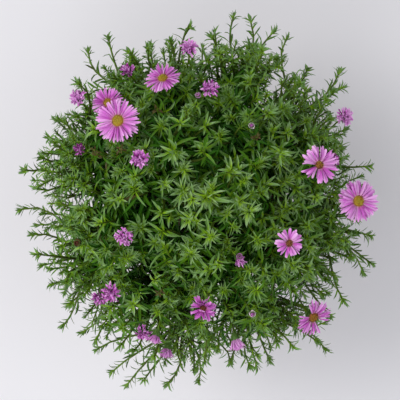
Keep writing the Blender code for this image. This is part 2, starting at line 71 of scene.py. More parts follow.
SEED = 11
SEAT_GAP = 0.0003
FULL_TURN = 2 * math.pi
GOLDEN_ANGLE = math.pi * (3 - math.sqrt(5))
UP = np.array((0.0, 0.0, 1.0))
EAST = np.array((1.0, 0.0, 0.0))
BAKE_MAP = "OFBake"
TONE_STEPS = 24
TONES_ACROSS = 6
SHARP_ANGLE = math.radians(30)
MM = 0.001


def unit(vectors: Array) -> Array:
    """Returns vectors scaled to length one."""
    return vectors / np.maximum(np.linalg.norm(vectors, axis=-1, keepdims=True), 1e-12)


def dot(first: Array, second: Array) -> Array:
    """Returns the dot products of two rows of vectors, as a column."""
    return (first * second).sum(-1, keepdims=True)


def column(values: Array | float) -> Array:
    """Returns numbers as a column, to scale rows of vectors by."""
    return np.asarray(values, float)[..., None]


def leaning(axis: Array, out: Array, degrees: Array | float) -> Array:
    """Returns directions that lean from an axis towards out by some degrees."""
    angle = np.radians(column(degrees))
    return axis * np.cos(angle) + out * np.sin(angle)


def square_to(axis: Array) -> Array:
    """Returns a direction square to an axis, on its +X side."""
    guide = np.where(np.abs(axis[..., :1]) > 0.95, UP, EAST)
    return unit(guide - axis * dot(guide, axis))


def round_about(axis: Array, azimuth: Array | float) -> Array:
    """Returns the directions square to an axis at some azimuths about it."""
    first = square_to(axis)
    return first * np.cos(column(azimuth)) + np.cross(axis, first) * np.sin(column(azimuth))


def spoke(azimuth: float) -> Array:
    """Returns the level direction at an azimuth."""
    return np.array((math.cos(azimuth), math.sin(azimuth), 0.0))


def arc(start: Array, leave: Array, end: Array, arrive: Array, pull: float = 0.38) -> Array:
    """Returns the four knots of an arc, whose inner two stand off by a share of its span."""
    reach = np.linalg.norm(end - start, axis=-1, keepdims=True) * pull
    return np.stack([start, start + leave * reach, end - arrive * reach, end], axis=-2)


def arc_weights(shares: Array) -> Array:
    """Returns the weight of each knot at some shares of an arc."""
    t, r = column(shares), 1 - column(shares)
    return np.concatenate([r**3, 3 * t * r**2, 3 * t**2 * r, t**3], axis=-1)


def arc_slopes(shares: Array) -> Array:
    """Returns the weight of each knot in the heading at some shares of an arc."""
    t, r = column(shares), 1 - column(shares)
    return np.concatenate([-(r**2), r**2 - 2 * t * r, 2 * t * r - t**2, t**2], axis=-1) * 3


@dataclass(frozen=True)
class PhotoView:
    """The camera straight above the plant, and how its frame maps to points.

    The scale, in metres to a pixel, holds at the height of the plane.
    """

    middle: float = 200.0
    scale: float = 0.00070
    plane: float = 0.130
    height: float = 0.950
    sensor_mm: float = 36.0

    def scale_at(self, height: float) -> float:
        """Returns the size of a pixel at a height."""
        return self.scale * (self.height - height) / (self.height - self.plane)

    def at(self, x: float, y: float, height: float) -> Array:
        """Returns the point at a height that shows at a pixel."""
        scale = self.scale_at(height)
        return np.array(((x - self.middle) * scale, (self.middle - y) * scale, height))

    def pixel_of(self, point: Array) -> Array:
        """Returns the pixel that a point shows at."""
        return self.middle + point[:2] * (1, -1) / self.scale_at(point[2])

    def add_camera(self) -> None:
        """Adds the camera, looking straight down with +Y at the top of the frame."""
        bpy.ops.object.camera_add(location=(0, 0, self.height), rotation=(0, 0, 0))
        camera = bpy.context.object
        camera.name = "camera_above"
        camera.data.sensor_width = self.sensor_mm
        camera.data.lens = self.sensor_mm * (self.height - self.plane) / (2 * self.middle * self.scale)
        camera.data.clip_start, camera.data.clip_end = 0.01, 20.0
        bpy.context.scene.camera = camera


VIEW = PhotoView()


@dataclass(frozen=True)
class Dome:
    """The cushion's outline, an upright half ellipsoid.

    Shoot tips face away from the focus. Each side shoot springs from the main stem that lies nearest to it
    in direction, as seen from the fork.
    """

    base: float = 0.118
    radius: float = 0.127
    rise: float = 0.120
    focus: Place = (0.0, 0.0, 0.055)
    fork: Place = (0.0, 0.0, 0.095)

    ROUNDS, STRIDE = 8, 0.6

    def point(self, polar: float, azimuth: float, stretch: float = 1.0) -> Array:
        """Returns a point of the dome by its angles, moved in or out by a share of its radius."""
        side, rise = self.radius * math.sin(polar), self.rise * math.cos(polar)
        return (spoke(azimuth) * side + UP * rise) * stretch + UP * self.base

    def under(self, x: float, y: float, lift: float) -> Array:
        """Finds the point of the dome that shows at a pixel.

        Args:
            x: The pixel's column.
            y: The pixel's row.
            lift: How far the point stands out above the dome.

        Returns:
            The point.
        """
        height = self.base
        for _ in range(self.ROUNDS):
            reach = np.hypot(*VIEW.at(x, y, height)[:2]) / self.radius
            target = self.base + self.rise * math.sqrt(max(1 - reach * reach, 0.0)) + lift
            height += (target - height) * self.STRIDE
        return VIEW.at(x, y, height)

    def outward(self, point: Array) -> Array:
        """Returns the direction that a shoot tip at a point faces."""
        return unit(point - np.array(self.focus))

    def bearing(self, point: Array) -> Array:
        """Returns a point's direction from the fork."""
        return unit(point - np.array(self.fork))


DOME = Dome()


class Bench:
    """A material's nodes, added and joined one by one."""

    def __init__(self, name: str) -> None:
        """Starts a material with a Principled shader.

        Args:
            name: Its name.
        """
        self.material = bpy.data.materials.new(name)
        self.material.use_nodes = True
        self.tree = self.material.node_tree
        self.shader = self.tree.nodes["Principled BSDF"]

    def feed(self, socket: Socket, value: object) -> None:
        """Gives a socket what it takes.

        Args:
            socket: The socket.
            value: A number, a colour, a vector or the output of another node.
        """
        if isinstance(value, Socket):
            self.tree.links.new(value, socket)
        elif isinstance(value, tuple) and len(socket.default_value) > len(value):
            socket.default_value = (*value, 1.0)
        else:
            socket.default_value = value

    def add(self, kind: str, feeds: dict[int | str, object], **settings: object) -> bpy.types.Node:
        """Adds a node.

        Args:
            kind: Its type.
            feeds: What its inputs take, by their number or name.
            settings: Its own settings.

        Returns:
            The node.
        """
        node = self.tree.nodes.new(kind)
        for key, value in settings.items():
            setattr(node, key, value)
        for key, value in feeds.items():
            self.feed(node.inputs[key], value)
        return node

    def dress(self, **values: object) -> None:
        """Feeds the shader's sockets, each named in plain words with _ for a space."""
        for key, value in values.items():
            self.feed(self.shader.inputs[key.replace("_", " ").title().replace("Ior", "IOR")], value)

    def held(self, name: str) -> Socket:
        """Reads a number that the piece holds at each of its points."""
        return self.add("ShaderNodeAttribute", {}, attribute_name=name).outputs["Fac"]

    def place(self) -> Socket:
        """Reads the place in the piece's own frame."""
        return self.add("ShaderNodeTexCoord", {}).outputs["Object"]

    def sum(self, operation: str, *values: object) -> Socket:
        """Does one sum on numbers."""
        return self.add("ShaderNodeMath", dict(enumerate(values)), operation=operation).outputs[0]

    def spread(self, *values: object) -> Socket:
        """Maps a value from low and high to two other numbers, and holds it there beyond its ends."""
        return self.add("ShaderNodeMapRange", dict(enumerate(values))).outputs[0]

    def mix(self, share: object, first: object, second: object) -> Socket:
        """Mixes two colours."""
        return self.add("ShaderNodeMix", {0: share, 6: first, 7: second}, data_type="RGBA").outputs[2]

    def ramp(self, share: object, stops: Stops) -> Socket:
        """Turns a share into a colour.

        Args:
            share: The share.
            stops: Some shares, and the colours there.

        Returns:
            The colour.
        """
        node = self.add("ShaderNodeValToRGB", {"Fac": share})
        elements = node.color_ramp.elements
        while len(elements) < len(stops):
            elements.new(0.5)
        for element, (place, colour) in zip(elements, stops):
            element.position, element.color = place, (*colour, 1.0)
        return node.outputs["Color"]

    def noise(self, scale: float, detail: float, stretch: Place = (1.0, 1.0, 1.0)) -> Socket:
        """Adds an uneven pattern in the piece's own frame.

        Args:
            scale: How fine it is.
            detail: How many finer layers it has.
            stretch: How much finer it is along each axis.

        Returns:
            Its value, from 0 to 1.
        """
        place = self.add("ShaderNodeMapping", {"Vector": self.place(), "Scale": stretch}).outputs["Vector"]
        feeds = {"Vector": place, "Scale": scale, "Detail": detail}
        return self.add("ShaderNodeTexNoise", feeds).outputs["Fac"]

    def relief(self, height: Socket, distance: float, strength: float) -> None:
        """Raises the surface by a pattern."""
        bump = self.add("ShaderNodeBump", {"Height": height, "Distance": distance, "Strength": strength})
        self.feed(self.shader.inputs["Normal"], bump.outputs["Normal"])


@dataclass(frozen=True)
class Finish:
    """A material, and the name of a finish slot, which nothing here reads."""

    name: str
    slot: str

    @cache
    def make(self) -> bpy.types.Material:
        """Makes the material, the first time that a piece asks for it.

        Returns:
            The material.
        """
        bench = Bench(self.name)
        self.lay_out(bench)
        return bench.material

    def lay_out(self, bench: Bench) -> None:
        """Lays out the nodes, as each kind of finish does in its own way."""
        raise NotImplementedError


class Number(Enum):
    """A number that a grown piece holds, or one that is worked out from these.

    TONE is a copy's own; for leaves it is also lower deeper in the cushion, as painted shade. ALONG runs
    from its foot at 0 to its tip at 1, ACROSS from -1 to 1, and UNDER is 1 on its lower side. EDGE is the
    distance from the midrib, STAGE is TONE and half of ALONG, and RIBS and STREAKS are waves across.
    """

    TONE = "tone"
    ALONG = "along"
    ACROSS = "across"
    UNDER = "under"
    EDGE = "edge"
    STAGE = "stage"
    RIBS = "ribs"
    STREAKS = "streaks"


TONE, ALONG, ACROSS, UNDER, EDGE, STAGE, RIBS, STREAKS = Number


class Share(NamedTuple):
    """A share read off a number: to_low where the number is low, and to_high where it is high."""

    number: Number
    low: float
    high: float
    to_low: float = 0.0
    to_high: float = 1.0


class Coat(NamedTuple):
    """A colour laid over those below it, as strongly as its shares multiply to."""

    colour: Colour
    shares: tuple[Share, ...]


@dataclass(frozen=True)
class GrownFinish(Finish):
    """A finish that follows how each copy in a piece grew.

    Attributes:
        base: The number that the base colour goes by.
        stops: The base colours.
        coats: The colours over it, from the lowest up.
        rough: The roughness.
        raised: The number that the relief goes by.
        depth: The depth of the relief.
        strength: How strongly the relief shows.
        ribs: How many ribs or streaks run along it.
        specular: How strongly it shines.
        sheen: How velvety it is.
    """

    base: Number
    stops: Stops
    coats: tuple[Coat, ...]
    rough: Share
    raised: Number
    depth: float
    strength: float = 0.5
    ribs: int = 3
    specular: float = 0.25
    sheen: float = 0.0

    @cache
    def number(self, bench: Bench, number: Number) -> Socket:
        """Lays out a number's nodes.

        Args:
            bench: The bench.
            number: The number.

        Returns:
            Its socket.
        """
        if number is EDGE:
            return bench.sum("ABSOLUTE", self.number(bench, ACROSS))
        if number is STAGE:
            half_along = bench.sum("MULTIPLY", self.number(bench, ALONG), 0.5)
            return bench.sum("ADD", self.number(bench, TONE), half_along)
        if number in (RIBS, STREAKS):
            turns = bench.sum("MULTIPLY", self.number(bench, ACROSS), math.pi * self.ribs)
            return bench.sum("SINE" if number is RIBS else "COSINE", turns)
        return bench.held(number.value)

    def read(self, bench: Bench, share: Share) -> Socket:
        """Lays out a share's nodes."""
        return bench.spread(self.number(bench, share.number), *share[1:])

    def lay_out(self, bench: Bench) -> None:
        """Lays the coats over the base colour, and sets the gloss and the relief.

        Args:
            bench: The bench.
        """
        colour = bench.ramp(self.number(bench, self.base), self.stops)
        for coat in self.coats:
            strength = self.read(bench, coat.shares[0])
            for share in coat.shares[1:]:
                strength = bench.sum("MULTIPLY", strength, self.read(bench, share))
            colour = bench.mix(strength, colour, coat.colour)
        bench.dress(base_color=colour, roughness=self.read(bench, self.rough))
        bench.dress(specular_ior_level=self.specular, sheen_weight=self.sheen)
        bench.relief(self.number(bench, self.raised), self.depth, self.strength)


@dataclass(frozen=True)
class PotFinish(Finish):
    """Moulded plastic, finely grained, scuffed and with dried splashes near the rim and the foot."""

    colour: Colour
    faded: Colour
    dust: Colour
    rim_height: float

    def lay_out(self, bench: Bench) -> None:
        """Lays faded patches, splashes and scuffs over the plastic.

        Args:
            bench: The bench.
        """
        z = bench.add("ShaderNodeSeparateXYZ", {0: bench.place()}).outputs["Z"]
        patches = bench.noise(26.0, 4.0)
        colour = bench.mix(bench.spread(patches, 0.35, 0.70, 0.0, 0.7), self.colour, self.faded)
        low = bench.spread(z, 0.0, 0.022, 0.55, 0.0)
        high = bench.spread(z, self.rim_height - 0.016, self.rim_height, 0.0, 0.35)
        splashes = bench.spread(bench.noise(140.0, 5.0), 0.50, 0.64, 0.0, 1.0)
        dusty = bench.sum("MULTIPLY", bench.sum("MAXIMUM", low, high), splashes)
        colour = bench.mix(dusty, colour, self.dust)
        scuffs = bench.spread(bench.noise(60.0, 6.0, (1.0, 1.0, 9.0)), 0.60, 0.70, 0.0, 0.25)
        colour = bench.mix(scuffs, colour, self.faded)
        rough = bench.spread(patches, 0.3, 0.7, 0.42, 0.58)
        rough = bench.sum("ADD", rough, bench.sum("MULTIPLY", dusty, 0.35))
        bench.dress(base_color=colour, roughness=rough)
        bench.relief(bench.noise(900.0, 2.0), 0.00008, 0.5)


@dataclass(frozen=True)
class EarthFinish(Finish):
    """Crumbly or barky stuff: three colours by an uneven pattern, with a rough surface."""

    dark: Colour
    middle: Colour
    light: Colour
    scale: float
    depth: float
    stretch: Place = (1.0, 1.0, 1.0)

    def lay_out(self, bench: Bench) -> None:
        """Lays a fine pattern over a coarse one.

        Args:
            bench: The bench.
        """
        coarse = bench.noise(self.scale, 6.0, self.stretch)
        fine = bench.noise(self.scale * 6, 4.0, self.stretch)
        colour = bench.ramp(coarse, ((0.30, self.dark), (0.52, self.middle), (0.72, self.light)))
        colour = bench.mix(bench.spread(fine, 0.45, 0.75, 0.0, 0.5), colour, self.light)
        bench.dress(base_color=colour, roughness=bench.spread(fine, 0.3, 0.7, 0.82, 0.98))
        bench.relief(bench.sum("ADD", coarse, fine), self.depth, 0.8)


def leaf_coats(young_foot_and_painted_light: Colour, bloom_and_painted_sheen: Colour, midrib: Colour) -> tuple[Coat, ...]:
    """Lists the coats of a green blade.

    Args:
        young_foot_and_painted_light: The yellow-green of a young blade's foot, brightened as painted light
            against the shade in the rosette's heart.
        bloom_and_painted_sheen: The pale grey-green of a young blade's tip and margin: partly a waxy bloom,
            partly a painted sheen that stands in for its highlights.
        midrib: The colour of the midrib.

    Returns:
        The coats.
    """
    painted_sheen_share = Share(TONE, 0.52, 0.92)
    return (
        # A young blade's foot: its own yellow-green, brightened as painted light where the rosette's heart
        # is shaded.
        Coat(young_foot_and_painted_light, (Share(ALONG, 0.05, 0.55, 0.95, 0.0), Share(TONE, 0.40, 0.82))),
        # Painted sheen: a young blade's outer half turns pale grey-green, as a waxy bloom and as its
        # highlights.
        Coat(bloom_and_painted_sheen, (Share(ALONG, 0.30, 0.80, 0.0, 0.62), painted_sheen_share)),
        Coat(midrib, (Share(EDGE, 0.0, 0.22, 0.45, 0.0), Share(ALONG, 0.5, 1.0, 1.0, 0.2))),
        # Painted sheen on a young blade's margins.
        Coat(bloom_and_painted_sheen, (Share(EDGE, 0.5, 1.0, 0.0, 0.55), painted_sheen_share)),
        Coat((0.14, 0.26, 0.07), (Share(UNDER, 0.0, 1.0, 0.0, 0.35),)),
    )


LEAF_GREEN = GrownFinish(
    name="Leaf blade",
    slot="leaf_green",
    base=TONE,
    # Tones from 0.10 to 0.35 run to near black: older leaves deep in the cushion, darkened as painted shade.
    # The two lowest stops are withered brown.
    stops=(
        (0.00, (0.080, 0.040, 0.020)),
        (0.06, (0.090, 0.070, 0.020)),
        (0.10, (0.005, 0.038, 0.002)),
        (0.35, (0.019, 0.102, 0.002)),
        (0.62, (0.082, 0.202, 0.006)),
        (0.85, (0.160, 0.330, 0.030)),
        (1.00, (0.260, 0.450, 0.024)),
    ),
    coats=leaf_coats(
        young_foot_and_painted_light=(0.360, 0.620, 0.004), bloom_and_painted_sheen=(0.295, 0.425, 0.290), midrib=(0.150, 0.300, 0.050)
    ),
    rough=Share(EDGE, 0.0, 1.0, 0.22, 0.32),
    raised=EDGE,
    depth=0.0002,
    specular=0.10,
)
SCALE_GREEN = GrownFinish(
    name="Cup scales",
    slot="bract_green",
    base=TONE,
    stops=(
        (0.00, (0.10, 0.05, 0.03)),
        (0.20, (0.055, 0.10, 0.025)),
        (0.60, (0.10, 0.21, 0.04)),
        (1.00, (0.17, 0.31, 0.06)),
    ),
    coats=leaf_coats(young_foot_and_painted_light=(0.24, 0.34, 0.10), bloom_and_painted_sheen=(0.10, 0.19, 0.05), midrib=(0.07, 0.16, 0.03)),
    rough=Share(EDGE, 0.0, 1.0, 0.51, 0.61),
    raised=EDGE,
    depth=0.0002,
    specular=0.10,
)
SHOOT_BARK = GrownFinish(
    name="Shoot bark",
    slot="leaf_green",
    base=STAGE,
    # The bark runs from near black at its foot to yellow-green at its tip: the dark foot is partly old wood,
    # partly painted shade deep in the cushion.
    stops=(
        (0.00, (0.020, 0.018, 0.007)),
        (0.25, (0.030, 0.038, 0.007)),
        (0.50, (0.056, 0.082, 0.008)),
        (0.75, (0.096, 0.160, 0.010)),
        (1.00, (0.230, 0.440, 0.010)),
    ),
    coats=(Coat((0.10, 0.14, 0.03), (Share(RIBS, 0.2, 1.0, 0.0, 0.35),)),),
    rough=Share(ALONG, 0.0, 1.0, 0.65, 0.50),
    raised=RIBS,
    depth=0.0001,
    strength=0.6,
)
CRUMB_BROWN = GrownFinish(
    name="Compost crumbs",
    slot="compost_brown",
    base=STAGE,
    stops=(
        (0.00, (0.012, 0.008, 0.006)),
        (0.40, (0.030, 0.020, 0.013)),
        (0.80, (0.060, 0.040, 0.025)),
        (1.00, (0.120, 0.085, 0.052)),
    ),
    coats=(Coat((0.075, 0.050, 0.032), (Share(RIBS, 0.2, 1.0, 0.0, 0.35),)),),
    rough=Share(ALONG, 0.0, 1.0, 0.95, 0.80),
    raised=RIBS,
    depth=0.0001,
    strength=0.6,
    ribs=2,
)
RAY_PINK = GrownFinish(
    name="Ray floret",
    slot="ray_pink",
    base=ALONG,
    stops=(
        (0.00, (0.66, 0.26, 0.22)),
        (0.12, (0.62, 0.12, 0.48)),
        (0.34, (0.73, 0.15, 0.69)),
        (0.72, (0.87, 0.25, 0.84)),
        (1.00, (0.95, 0.48, 0.93)),
    ),
    coats=(
        Coat(
            (0.45, 0.045, 0.42),
            (
                Share(STREAKS, -0.2, 1.0, 0.0, 0.65),
                Share(ALONG, 0.1, 0.95, 1.0, 0.25),
                Share(TONE, 0.55, 0.95, 1.0, 0.45),
            ),
        ),
        # The dull and pale coats give low-tone rays a deep magenta and high-tone rays a pale pink: colour
        # that varies from ray to ray, and also painted shade and painted highlight.
        Coat((0.30, 0.012, 0.25), (Share(TONE, 0.0, 0.55, 1.0, 0.0),)),
        Coat((0.96, 0.64, 0.95), (Share(TONE, 0.62, 1.0, 0.0, 0.62),)),
        Coat((1.00, 0.86, 0.90), (Share(TONE, 0.955, 0.975, 0.0, 0.92),)),
        Coat((0.82, 0.40, 0.80), (Share(UNDER, 0.0, 1.0, 0.0, 0.4),)),
    ),
    rough=Share(ALONG, 0.0, 1.0, 0.55, 0.67),
    raised=STREAKS,
    depth=0.00012,
    sheen=0.06,
)
DISC_YELLOW = GrownFinish(
    name="Disc floret",
    slot="disc_yellow",
    base=TONE,
    stops=(
        (0.00, (0.110, 0.020, 0.022)),
        (0.30, (0.36, 0.12, 0.02)),
        (0.58, (0.50, 0.30, 0.02)),
        (0.80, (0.46, 0.46, 0.03)),
        (1.00, (0.62, 0.62, 0.05)),
    ),
    coats=(
        Coat((0.70, 0.50, 0.06), (Share(ALONG, 0.65, 1.0, 0.0, 0.3), Share(TONE, 0.05, 0.4))),
        # Each floret darkens towards its foot, down between its neighbours: painted shade.
        Coat((0.10, 0.07, 0.02), (Share(ALONG, 0.0, 0.6, 0.7, 0.0),)),
    ),
    rough=Share(ALONG, 0.0, 1.0, 0.85, 0.65),
    raised=ALONG,
    depth=0.0001,
    strength=0.4,
    specular=0.5,
)
POT_PLASTIC = PotFinish(
    name="Pot plastic",
    slot="pot_plastic",
    colour=(0.30, 0.105, 0.050),
    faded=(0.38, 0.165, 0.090),
    dust=(0.30, 0.235, 0.170),
    rim_height=0.100,
)
COMPOST_BROWN = EarthFinish(
    name="Compost",
    slot="compost_brown",
    dark=(0.012, 0.008, 0.006),
    middle=(0.034, 0.022, 0.014),
    light=(0.080, 0.054, 0.034),
    scale=160.0,
    depth=0.0008,
)
CROWN_WOOD = EarthFinish(
    name="Woody base",
    slot="crown_wood",
    dark=(0.045, 0.028, 0.015),
    middle=(0.110, 0.075, 0.040),
    light=(0.210, 0.160, 0.095),
    scale=120.0,
    depth=0.0006,
    stretch=(1.0, 1.0, 0.35),
)


def settle(obj: Object, finish: Finish, *nodes: str) -> None:
    """Hands a finished piece over.

    Args:
        obj: The piece.
        finish: Its finish.
        nodes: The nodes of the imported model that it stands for.
    """
    obj.data.materials.append(finish.make())
    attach(obj, "root")
    if nodes:
        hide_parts(*nodes)
    log.info("%s: %d triangles", obj.name, len(obj.data.loops) - 2 * len(obj.data.polygons))


def start_work(add: Callable, **settings: object) -> Object:
    """Starts a shape from a primitive, and opens it in edit mode with all of it selected.

    Args:
        add: The operator that adds the primitive.
        settings: The primitive's size and place.

    Returns:
        The new object.
    """
    bpy.ops.object.select_all(action="DESELECT")
    add(**settings)
    bpy.ops.object.transform_apply(location=True, rotation=True, scale=False)
    bpy.ops.object.mode_set(mode="EDIT")
    bpy.ops.mesh.select_all(action="SELECT")
    return bpy.context.object


def end_work() -> None:
    """Turns every face outwards and leaves edit mode."""
    bpy.ops.mesh.select_all(action="SELECT")
    bpy.ops.mesh.normals_make_consistent(inside=False)
    bpy.ops.object.mode_set(mode="OBJECT")


def raise_ring(outline: Outline) -> None:
    """Extrudes the selected ring along an outline of radii and heights, which starts where the ring is.

    Args:
        outline: The radii and heights.
    """
    for (radius, height), (next_radius, next_height) in zip(outline, outline[1:]):
        ratio = next_radius / radius
        bpy.ops.mesh.extrude_region_move(TRANSFORM_OT_translate={"value": (0, 0, next_height - height)})
        bpy.ops.transform.resize(value=(ratio, ratio, 1), center_override=(0, 0, next_height))


class Pattern(NamedTuple):
    """A small closed shape: across X from -1 to 1, along Y from 0 to 1, and up Z.

    The corners are the point numbers of each face, face after face, the counts are how many each face has,
    and under tells for each corner whether its face looks down.
    """

    points: Array
    corners: Array
    counts: Array
    under: Array

    @classmethod
    def lifted_from(cls, obj: Object) -> Pattern:
        """Takes the shape of a modelled object, and removes the object.

        The faces are sorted, because the modelling tools leave them in an order that varies between runs.

        Args:
            obj: The object.

        Returns:
            The pattern.
        """
        mesh = obj.data
        faces = sorted(mesh.polygons, key=lambda face: sorted(face.vertices))
        counts = np.array([len(face.vertices) for face in faces])
        points = np.array([vert.co for vert in mesh.vertices], float)
        corners = np.array([number for face in faces for number in face.vertices])
        under = np.repeat([face.normal.z < 0 for face in faces], counts)
        bpy.data.meshes.remove(mesh)
        return cls(points, corners, counts, under)


class Former:
    """Models a pattern from a flat ring of corners that is extruded along Y."""

    def __init__(self, sides: int) -> None:
        """Adds the ring, filled, with its first corner at the top.

        Args:
            sides: How many corners it has.
        """
        add, turn = bpy.ops.mesh.primitive_circle_add, (math.pi / 2, 0, 0)
        self.obj = start_work(add, vertices=sides, radius=1.0, fill_type="NGON", rotation=turn)
        self.reach, self.width = 0.0, 1.0

    def pick(self, test: Callable[[Vector], bool]) -> None:
        """Selects just the points whose place passes a test.

        Args:
            test: The test.
        """
        bpy.ops.mesh.select_all(action="DESELECT")
        mesh = bmesh.from_edit_mesh(self.obj.data)
        for vert in mesh.verts:
            vert.select = test(vert.co)
        mesh.select_flush(True)
        bmesh.update_edit_mesh(self.obj.data)

    def resize(self, across: float, up: float) -> None:
        """Resizes what is selected about the centre line."""
        bpy.ops.transform.resize(value=(across, 1, up), center_override=(0, self.reach, 0))

    def lift(self, height: float) -> None:
        """Moves what is selected up."""
        bpy.ops.transform.translate(value=(0, 0, height))

    def extend(self, reach: float, width: float) -> None:
        """Extrudes the selected end to a share of the length, and brings it to a width or to a point.

        Args:
            reach: The share.
            width: The width as a share of the pattern's widest place, or 0 for a point.
        """
        bpy.ops.mesh.extrude_region_move(TRANSFORM_OT_translate={"value": (0, reach - self.reach, 0)})
        self.reach = reach
        if width:
            self.resize(width / self.width, width / self.width)
            self.width = width
        else:
            bpy.ops.mesh.merge(type="CENTER")

    def draw(self, outline: Outline) -> Pattern:
        """Draws the ring out along an outline.

        Args:
            outline: Shares of the length with the width there. A share may go back, as into a mouth.

        Returns:
            The pattern.
        """
        bpy.ops.mesh.select_all(action="SELECT")
        self.width = outline[0][1]
        self.resize(self.width, self.width)
        for reach, width in outline[1:]:
            self.extend(reach, width)
        end_work()
        return Pattern.lifted_from(self.obj)


@dataclass(frozen=True)
class Blade:
    """A leaf-shaped blade whose margins stand a fold above its midrib, thickest at the midrib."""

    outline: Outline
    fold: float = 0.46
    thickness: float = 0.10

    @cache
    def model(self) -> Pattern:
        """Models the blade, once.

        Returns:
            The pattern.
        """
        form = Former(4)
        form.pick(lambda place: abs(place.x) < 0.5)
        form.resize(1.0, self.thickness)
        form.pick(lambda place: abs(place.x) > 0.5)
        form.lift(self.fold)
        return form.draw(self.outline)


@dataclass(frozen=True)
class Strap:
    """A ray floret: a thin strap with a groove between two ridges on its upper side and a blunt tip."""

    outline: Outline
    ridge: float = 0.16

    @cache
    def model(self) -> Pattern:
        """Models the strap, once.

        Returns:
            The pattern.
        """
        form = Former(8)
        form.resize(1.0, self.ridge)
        form.pick(lambda place: abs(place.x) < 0.1 and place.z > 0)
        form.lift(-self.ridge * 0.8)
        form.pick(lambda place: abs(place.x) > 0.9)
        form.lift(self.ridge * 0.7)
        return form.draw(self.outline)


@dataclass(frozen=True)
class Turning:
    """A round shape about Y: a shoot, a cup or a floret's tube."""

    sides: int
    outline: Outline

    @cache
    def model(self) -> Pattern:
        """Models the shape, once."""
        return Former(self.sides).draw(self.outline)


@dataclass(frozen=True)
class Lump:
    """A lump of earth: a ball of a few faces, knocked out of shape."""

    knock: float = 0.22
    squash: Place = (1.0, 0.5, 0.8)

    @cache
    def model(self) -> Pattern:
        """Models the lump, once.

        Returns:
            The pattern.
        """
        obj = start_work(bpy.ops.mesh.primitive_ico_sphere_add, subdivisions=1, radius=1.0)
        bpy.ops.transform.vertex_random(offset=self.knock, seed=SEED)
        bpy.ops.transform.resize(value=self.squash, center_override=(0, 0, 0))
        bpy.ops.transform.translate(value=(0, self.squash[1], 0))
        end_work()
        return Pattern.lifted_from(obj)


def rod(sides: int, spans: int) -> Turning:
    """Returns a straight length with evenly spaced stations."""
    return Turning(sides, tuple((span / spans, 1.0) for span in range(spans + 1)))


LEAF = Blade(((0, 0.26), (0.20, 0.62), (0.45, 1.0), (0.76, 0.68), (1.0, 0.0)))
NEEDLE = Blade(((0, 0.45), (0.30, 1.0), (0.66, 0.88), (1.0, 0.0)))
SCALE = Blade(((0, 0.80), (0.35, 1.0), (0.70, 0.80), (1.0, 0.0)), fold=-0.3)
SHRED = Blade(((0, 0.45), (0.35, 0.90), (0.80, 1.0), (1.0, 0.0)), fold=0.5)
RAY = Strap(((0, 0.40), (0.14, 0.56), (0.36, 0.84), (0.68, 1.0), (0.88, 0.90), (0.97, 0.52), (1.0, 0.0)))
SHOOT, STEM = rod(5, 6), rod(8, 20)
TUBE = Turning(5, ((0, 0.5), (0.55, 0.5), (0.92, 1.0), (0.97, 0.75), (0.75, 0.3)))
CUP = Turning(12, ((0, 0.34), (0.12, 0.52), (0.40, 0.88), (0.75, 1.0), (1.0, 0.95)))
BUTTON = Turning(14, ((0, 1.0), (0.35, 0.98), (0.70, 0.80), (0.92, 0.48), (1.0, 0.16)))
CRUMB = Lump()


class Spray:
    """The copies of one pattern that a piece holds, each on an arc of its own."""

    UPPER_HALF, UNDER_HALF, HALF_REACH = 0.25, 0.75, 0.22
    CELL_FOOT, CELL_RUN = 0.03, (0.0, 0.93, 0.012)

    def __init__(self, shape: Blade | Strap | Turning | Lump) -> None:
        """Starts with no copies.

        Args:
            shape: The shape.
        """
        self.pattern = shape.model()
        self.knots: list[Array] = []
        self.sides: list[Array] = []
        self.sizes: list[Array] = []

    def add(
        self, knots: Array, side: Array, size: Array | float, tone: Array | float, taper: float = 1.0
    ) -> None:
        """Adds copies.

        Args:
            knots: The four knots of each arc.
            side: The direction across each copy.
            size: Each copy's half width.
            tone: Each copy's tone, from 0 to 1.
            taper: The width at the end, as a share of that at the start.
        """
        knots = knots.reshape(-1, 4, 3)
        self.knots.append(knots)
        self.sides.append(side.reshape(-1, 1, 3))
        columns = np.broadcast_arrays(size, tone, taper, np.empty(len(knots)))[:3]
        self.sizes.append(np.stack(columns, axis=-1))

    def points(self) -> Array:
        """Bends every copy along its arc.

        Returns:
            All their points.
        """
        knots, side = np.concatenate(self.knots), np.concatenate(self.sides)
        size, _, taper = np.concatenate(self.sizes).T[..., None]
        x, along, z = self.pattern.points.T
        middle = np.einsum("vk,nkc->nvc", arc_weights(along), knots)
        ahead = unit(np.einsum("vk,nkc->nvc", arc_slopes(along), knots))
        side = unit(side - ahead * dot(side, ahead))
        size = size * (1 + (taper - 1) * along)
        points = middle + side * column(x * size) + np.cross(side, ahead) * column(z * size)
        return points.reshape(-1, 3)

    def lists(self, start: int) -> dict[str, Array]:
        """Lists what a mesh holds of the copies.

        All copies of one tone look alike, so they share one cell of the bake map, with the pattern's two
        faces side by side.

        Args:
            start: How many points the mesh has before them.

        Returns:
            Each list by its name.
        """
        pattern = self.pattern
        tones = np.floor(np.concatenate(self.sizes)[:, 1] * TONE_STEPS)
        steps = np.clip(tones, 0, TONE_STEPS - 1).astype(int)[:, None]
        copies, size = len(steps), len(pattern.points)
        ends = pattern.points[pattern.corners]
        half = np.where(pattern.under, self.UNDER_HALF, self.UPPER_HALF)
        cell_x = steps % TONES_ACROSS + half + ends[:, 0] * self.HALF_REACH
        cell_y = steps // TONES_ACROSS + self.CELL_FOOT + ends @ self.CELL_RUN
        places = np.stack([cell_x / TONES_ACROSS, cell_y * TONES_ACROSS / TONE_STEPS], axis=-1)
        return {
            "points": self.points(),
            "corners": (pattern.corners + start + np.arange(copies)[:, None] * size).ravel(),
            "counts": np.tile(pattern.counts, copies),
            "tone": np.repeat((steps + 0.5) / TONE_STEPS, size),
            "along": np.tile(pattern.points[:, 1], copies),
            "across": np.tile(pattern.points[:, 0], copies),
            "under": np.tile(pattern.under, copies),
            "places": places.reshape(-1, 2),
        }


